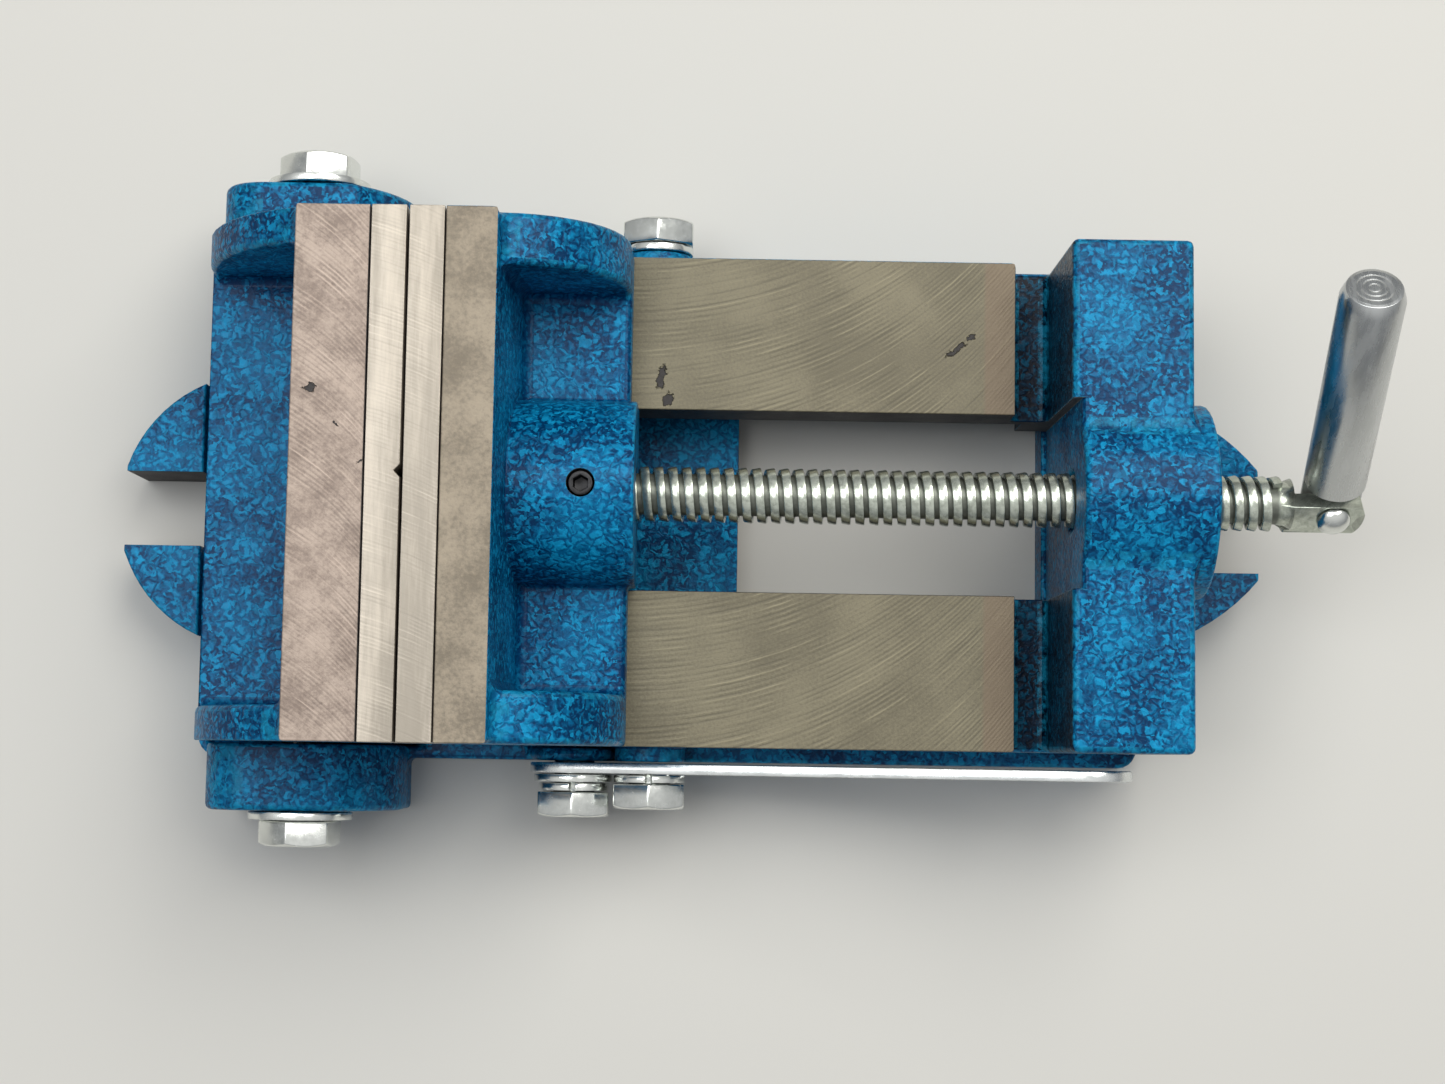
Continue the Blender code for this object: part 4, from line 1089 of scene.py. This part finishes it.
@dataclass
class LeadScrew:
    """The lead screw: the solid's stock, thinned to the root, with a swept thread."""

    body: str = "screw"
    start_x: float = -25.0 * MM
    end_x: float = 88.0 * MM
    runout: float = 0.3 * MM
    pitch: float = 25.4 * MM / 12
    crest_radius: float = 4.25 * MM
    root_radius: float = 3.12 * MM
    sunk: float = 0.25 * MM
    crest_width: float = 0.86 * MM
    foot_width: float = 1.42 * MM
    crest_round: float = 0.16 * MM
    steps_per_turn: int = 28
    smooth_angle: float = math.radians(32.0)

    def sizes(self) -> dict[str, float]:
        """Return the named inputs of the thread's node tree."""
        return {
            "Start": self.start_x, "Length": self.end_x - self.start_x, "Pitch": self.pitch,
            "Root Radius": self.root_radius, "Crest Radius": self.crest_radius,
            "Crest Width": self.crest_width, "Foot Width": self.foot_width,
            "Crest Round": self.crest_round, "Steps": self.steps_per_turn,
        }

    def thread_tree(self, material: bpy.types.Material) -> Tree:
        """Return the tree that sweeps the thread's form along a helix.

        Args:
            material: Finish of the thread.

        Returns:
            The geometry node tree.
        """
        tree = bpy.data.node_groups.new("LeadScrewThread", "GeometryNodeTree")
        for label, size in self.sizes().items():
            kind = "NodeSocketInt" if isinstance(size, int) else "NodeSocketFloat"
            tree.interface.new_socket(label, in_out="INPUT", socket_type=kind)
        tree.interface.new_socket("Geometry", in_out="OUTPUT", socket_type="NodeSocketGeometry")
        sheet = Sheet(tree)
        given = sheet.add("NodeGroupInput").outputs
        foot = sheet.math("SUBTRACT", given["Root Radius"], self.sunk)
        depth = sheet.math("SUBTRACT", given["Crest Radius"], foot)
        middle = sheet.math("MULTIPLY", sheet.math("ADD", given["Crest Radius"], foot), 0.5)
        turns = sheet.math("DIVIDE", given["Length"], given["Pitch"])
        helix = sheet.add("GeometryNodeCurveSpiral", {
            "Resolution": given["Steps"], "Rotations": turns, "Start Radius": middle,
            "End Radius": middle, "Height": given["Length"], "Reverse": True})
        upright = sheet.add("GeometryNodeSetCurveNormal", {"Curve": helix.outputs[0]},
                            mode="Z_UP")
        form = sheet.add("GeometryNodeCurvePrimitiveQuadrilateral", {
            "Height": depth, "Bottom Width": given["Foot Width"],
            "Top Width": given["Crest Width"], "Offset": 0.0}, mode="TRAPEZOID")
        eased = sheet.add("GeometryNodeFilletCurve", {
            "Curve": form.outputs[0], "Radius": given["Crest Round"], "Count": 2}, mode="POLY")
        swept = sheet.add("GeometryNodeCurveToMesh", {
            "Curve": upright.outputs[0], "Profile Curve": eased.outputs[0],
            "Fill Caps": True})
        place = sheet.add("ShaderNodeCombineXYZ", {"X": given["Start"], "Z": SCREW_AXIS_Z})
        laid = sheet.add("GeometryNodeTransform", {
            "Geometry": swept.outputs[0], "Translation": place.outputs[0],
            "Rotation": (0.0, math.radians(90.0), 0.0)})
        real = sheet.add("GeometryNodeRealizeInstances", {"Geometry": laid.outputs[0]})
        dressed = sheet.add("GeometryNodeSetMaterial", {
            "Geometry": real.outputs[0], "Material": material})
        sheet.add("NodeGroupOutput", {"Geometry": dressed.outputs[0]})
        return tree

    def make_thread(self, material: bpy.types.Material) -> Piece:
        """Return the swept thread as a plain mesh object."""
        piece = put_in_scene("thread", bpy.data.meshes.new("thread"))
        modifier = piece.modifiers.new("thread", "NODES")
        modifier.node_group = self.thread_tree(material)
        for item in modifier.node_group.interface.items_tree:
            if item.in_out == "INPUT":
                modifier[item.identifier] = self.sizes()[item.name]
        keep_modifiers(piece)
        return piece

    def thin_core(self, work: Work) -> None:
        """Bring the stock's threaded length down to the root radius."""
        for vertex in work.verts:
            off = Vector((0.0, vertex.co.y, vertex.co.z - SCREW_AXIS_Z))
            if vertex.co.x < self.end_x + self.runout and off.length > self.root_radius:
                off *= self.root_radius / off.length
                vertex.co.y = off.y
                vertex.co.z = SCREW_AXIS_Z + off.z

    def build(self, frame: dict, shop: FinishShop) -> None:
        """Make the screw and its thread as one piece."""
        material = shop.material(Surface.THREAD)
        thread = self.make_thread(material)
        mesh = frame["nodes"]["lead_screw"].data.copy()
        mesh.name = "threaded_screw"
        mesh.materials.clear()
        mesh.materials.append(material)
        screw = put_in_scene("threaded_screw", mesh)
        with OpenMesh(mesh) as work:
            bmesh.ops.remove_doubles(work, verts=work.verts, dist=MERGE_DISTANCE)
            self.thin_core(work)
            work.from_mesh(thread.data)
            bmesh.ops.dissolve_degenerate(work, dist=1e-6, edges=work.edges)
        bpy.data.objects.remove(thread)
        mesh.shade_smooth()
        mesh.set_sharp_from_angle(angle=self.smooth_angle)
        tie(screw, self.body, Slot.ZINC, "lead_screw")


@dataclass
class FoldingHandle:
    """The bar that folds on the screw's tongue, with tool rings on its end."""

    body: str = "handle"
    pivot: Place = (96.6 * MM, 0.0, SCREW_AXIS_Z)
    lean: float = math.radians(36.0)
    fold: float = math.radians(4.4)
    length: float = 44.3 * MM
    rounding: float = 0.06 * MM
    ring_radii: tuple[float, ...] = (0.8 * MM, 1.7 * MM, 2.6 * MM)
    ring_depth: float = 0.05 * MM
    groove_height: float = 0.01 * MM
    groove_half: float = 0.16 * MM
    rim_radius: float = 3.45 * MM
    steps: int = 48

    def matrix(self) -> Matrix:
        """Return the matrix from the bar's own frame, with its axis up, to its place."""
        turn = Matrix.Rotation(-self.lean, 4, "X") @ Matrix.Rotation(-self.fold, 4, "Y")
        return Matrix.Translation(self.pivot) @ turn

    def ring_profile(self) -> list[tuple[float, float]]:
        """Return the radius and height of the turned end, from its inmost ring to its rim."""
        top = self.length + self.ring_depth
        half = self.groove_half
        points = []
        for radius in self.ring_radii:
            points += [(radius - half, top), (radius, self.length + self.groove_height),
                       (radius + half, top)]
        return points + [(self.rim_radius, top), (self.rim_radius + half, self.length - half)]

    def make_rings(self, material: bpy.types.Material) -> Piece:
        """Return the bar's end face, in its place, with the rings that the tool left."""
        mesh = bpy.data.meshes.new("bar_end_rings")
        mesh.materials.append(material)
        angles = [2 * math.pi * step / self.steps for step in range(self.steps)]
        with OpenMesh(mesh) as work:
            rims = [[work.verts.new((radius * math.cos(angle), radius * math.sin(angle), height))
                     for angle in angles] for radius, height in self.ring_profile()]
            work.faces.new(rims[0])
            work.faces.new(list(reversed(rims[-1])))
            for inner, outer in zip(rims, rims[1:]):
                for step in range(self.steps):
                    after = (step + 1) % self.steps
                    work.faces.new((inner[step], outer[step], outer[after], inner[after]))
            bmesh.ops.recalc_face_normals(work, faces=work.faces)
            work.transform(self.matrix())
        return put_in_scene("bar_end_rings", mesh)

    def build(self, frame: dict, shop: FinishShop) -> None:
        """Make and dress the bar and its end."""
        RefinedPiece("handle_bar", "folding_bar", self.body, Slot.POLISHED, (Surface.BAR,),
                     rounding=self.rounding, sharp_angle=math.radians(60.0)).build(frame, shop)
        tie(self.make_rings(shop.material(Surface.BAR)), self.body, Slot.POLISHED)


@dataclass
class SmallPieces:
    """Bolts, washers, screws, the strap and the rivet, with roundings in millimetres."""

    tilting: str = "tilting_body"
    jaw: str = "sliding_jaw"
    base: str = "base_frame"
    lock: str = "strap_lock"
    bolt_rounding: float = 0.22
    washer_rounding: float = 0.2
    split_rounding: float = 0.15
    screw_rounding: float = 0.12
    strap_rounding: float = 0.25

    def zinc_rows(self) -> list[tuple[str, str, str, float]]:
        """Return the solid, name, body and rounding of each zinc fastener."""
        bolt, washer = self.bolt_rounding, self.washer_rounding
        rows = [(f"hinge_{kind}_{side}", f"hinge_{full}_{side}", self.tilting, rounding)
                for side in ("near", "far")
                for kind, full, rounding in (("bolt", "hex_bolt", bolt),
                                             ("washer", "flat_washer", washer))]
        others = (
            ("far_lock_bolt", self.tilting, bolt), ("far_lock_washer", self.tilting, washer),
            ("strap_pivot_bolt", self.base, bolt), ("strap_pivot_washer", self.base, washer),
            ("strap_pivot_spring_washer", self.base, self.split_rounding),
            ("strap_lock_bolt", self.lock, bolt), ("strap_lock_washer", self.lock, washer),
            ("handle_rivet", "screw", washer),
        )
        return rows + [(node, f"zinc_{node}", body, rounding) for node, body, rounding in others]

    def black_rows(self) -> list[tuple[str, str, str, float]]:
        """Return the solid, name, body and rounding of each black screw."""
        bodies = {"fixed_plate_screw_near": self.tilting, "fixed_plate_screw_far": self.tilting,
                  "moving_plate_screw_near": self.jaw, "moving_plate_screw_far": self.jaw,
                  "keeper_screw_rear": self.jaw, "keeper_screw_front": self.jaw,
                  "jaw_set_screw": self.jaw}
        return [(node, f"black_{node}", body, self.screw_rounding)
                for node, body in bodies.items()]

    def build(self, frame: dict, shop: FinishShop) -> None:
        """Make and dress every small piece."""
        strap = ("tilt_strap", "slotted_strap", "strap", self.strap_rounding)
        for slot, surface, rows in ((Slot.ZINC, Surface.ZINC, self.zinc_rows()),
                                    (Slot.ZINC, Surface.STRAP, [strap]),
                                    (Slot.BLACK, Surface.BLACK, self.black_rows())):
            for node, name, body, rounding in rows:
                RefinedPiece(node, name, body, slot, (surface,),
                             rounding=rounding * MM).build(frame, shop)


@dataclass(frozen=True)
class Lamp:
    """A square area lamp that faces the vise, with its power in watts."""

    name: str
    place: Place
    size: float
    power: float
    colour: Colour


@dataclass
class Studio:
    """Camera at the photograph's angle, pale floor and soft light."""

    camera_place: Place = (0.00157, -0.03897, 0.37612)
    camera_turn: tuple[float, float, float] = (0.0923, -0.0100, 0.0150)
    lens: float = 56.9
    sensor: float = 36.0
    floor_size: float = 6.0
    floor_colour: Colour = (0.66, 0.645, 0.60)
    lamps: tuple[Lamp, ...] = (
        Lamp("key", (0.28, 0.36, 0.76), 0.6, 5.4, (1.0, 0.985, 0.94)),
        Lamp("fill", (-0.30, 0.12, 0.85), 0.5, 3.0, (0.96, 0.98, 1.0)),
    )
    lamp_target: Place = (0.0, 0.0, 0.02)

    def make_camera(self) -> None:
        """Set up the camera."""
        data = bpy.data.cameras.new("photo_camera")
        data.sensor_width = self.sensor
        data.lens = self.lens
        data.clip_start = 0.01
        camera = put_in_scene("photo_camera", data)
        camera.location = self.camera_place
        camera.rotation_euler = self.camera_turn
        bpy.context.scene.camera = camera

    def make_floor(self) -> None:
        """Lay the plain pale floor."""
        half = self.floor_size / 2
        mesh = bpy.data.meshes.new("floor")
        mesh.from_pydata([(-half, -half, 0), (half, -half, 0), (half, half, 0), (-half, half, 0)],
                         [], [(0, 1, 2, 3)])
        material = bpy.data.materials.new("pale_floor")
        material.use_nodes = True
        shader = material.node_tree.nodes["Principled BSDF"]
        shader.inputs["Base Color"].default_value = rgba(self.floor_colour)
        shader.inputs["Roughness"].default_value = 0.9
        shader.inputs["Specular IOR Level"].default_value = 0.1
        mesh.materials.append(material)
        put_in_scene("floor", mesh)

    def add_lamp(self, lamp: Lamp) -> None:
        """Add one area lamp that faces the vise."""
        data = bpy.data.lights.new(lamp.name, "AREA")
        data.size = lamp.size
        data.energy = lamp.power
        data.color = lamp.colour
        placed = put_in_scene(lamp.name, data)
        placed.location = lamp.place
        facing = Vector(self.lamp_target) - Vector(lamp.place)
        placed.rotation_euler = facing.to_track_quat("-Z", "Y").to_euler()

    @staticmethod
    def make_surroundings() -> None:
        """Make the world: soft light, a brighter room in metal, and a pale backdrop."""
        world = bpy.data.worlds.new("surroundings")
        world.use_nodes = True
        world.node_tree.nodes.clear()
        sheet = Sheet(world.node_tree)
        height = sheet.parts(sheet.add("ShaderNodeTexCoord").outputs["Generated"])["Z"]
        rise = sheet.ramp(height, 0.0, 0.95)
        ambient = sheet.blend(rise, (0.30, 0.31, 0.33, 1.0), (0.90, 0.93, 1.0, 1.0))
        room = sheet.blend(rise, (0.34, 0.35, 0.36, 1.0), (0.93, 0.93, 0.92, 1.0))
        path = sheet.add("ShaderNodeLightPath").outputs
        seen = sheet.math("MAXIMUM", path["Is Glossy Ray"], path["Is Transmission Ray"])
        soft, mirror, backdrop = (
            sheet.add("ShaderNodeBackground", {"Color": colour, "Strength": strength}).outputs[0]
            for colour, strength in ((ambient, 0.40), (room, 0.85), ((0.90, 0.90, 0.89, 1.0), 1.0)))
        inner = sheet.add("ShaderNodeMixShader", {0: seen, 1: soft, 2: mirror}).outputs[0]
        both = sheet.add("ShaderNodeMixShader", {
            0: path["Is Camera Ray"], 1: inner, 2: backdrop}).outputs[0]
        sheet.add("ShaderNodeOutputWorld", {"Surface": both})
        bpy.context.scene.world = world

    def build(self) -> None:
        """Make the camera, floor and light."""
        self.make_camera()
        self.make_floor()
        for lamp in self.lamps:
            self.add_lamp(lamp)
        self.make_surroundings()
        bpy.context.scene.view_settings.view_transform = "Standard"


def corners(box: Sequence[Sequence[float]]) -> list[list[float]]:
    """Return a box as plain lists of numbers."""
    return [[float(value) for value in corner] for corner in box]


def main() -> None:
    """Load the frame, set up the studio and build each sub-assembly in order."""
    logging.basicConfig(level=logging.INFO, format="%(message)s")
    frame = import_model()
    Studio().build()
    shop = FinishShop()
    assemblies = (BaseFrame(), TiltingBody(), SlidingJaw(), LeadScrew(), FoldingHandle(),
                  SmallPieces())
    for assembly in assemblies:
        LOG.info("building %s", type(assembly).__name__)
        assembly.build(frame, shop)


if __name__ == "__main__":
    main()
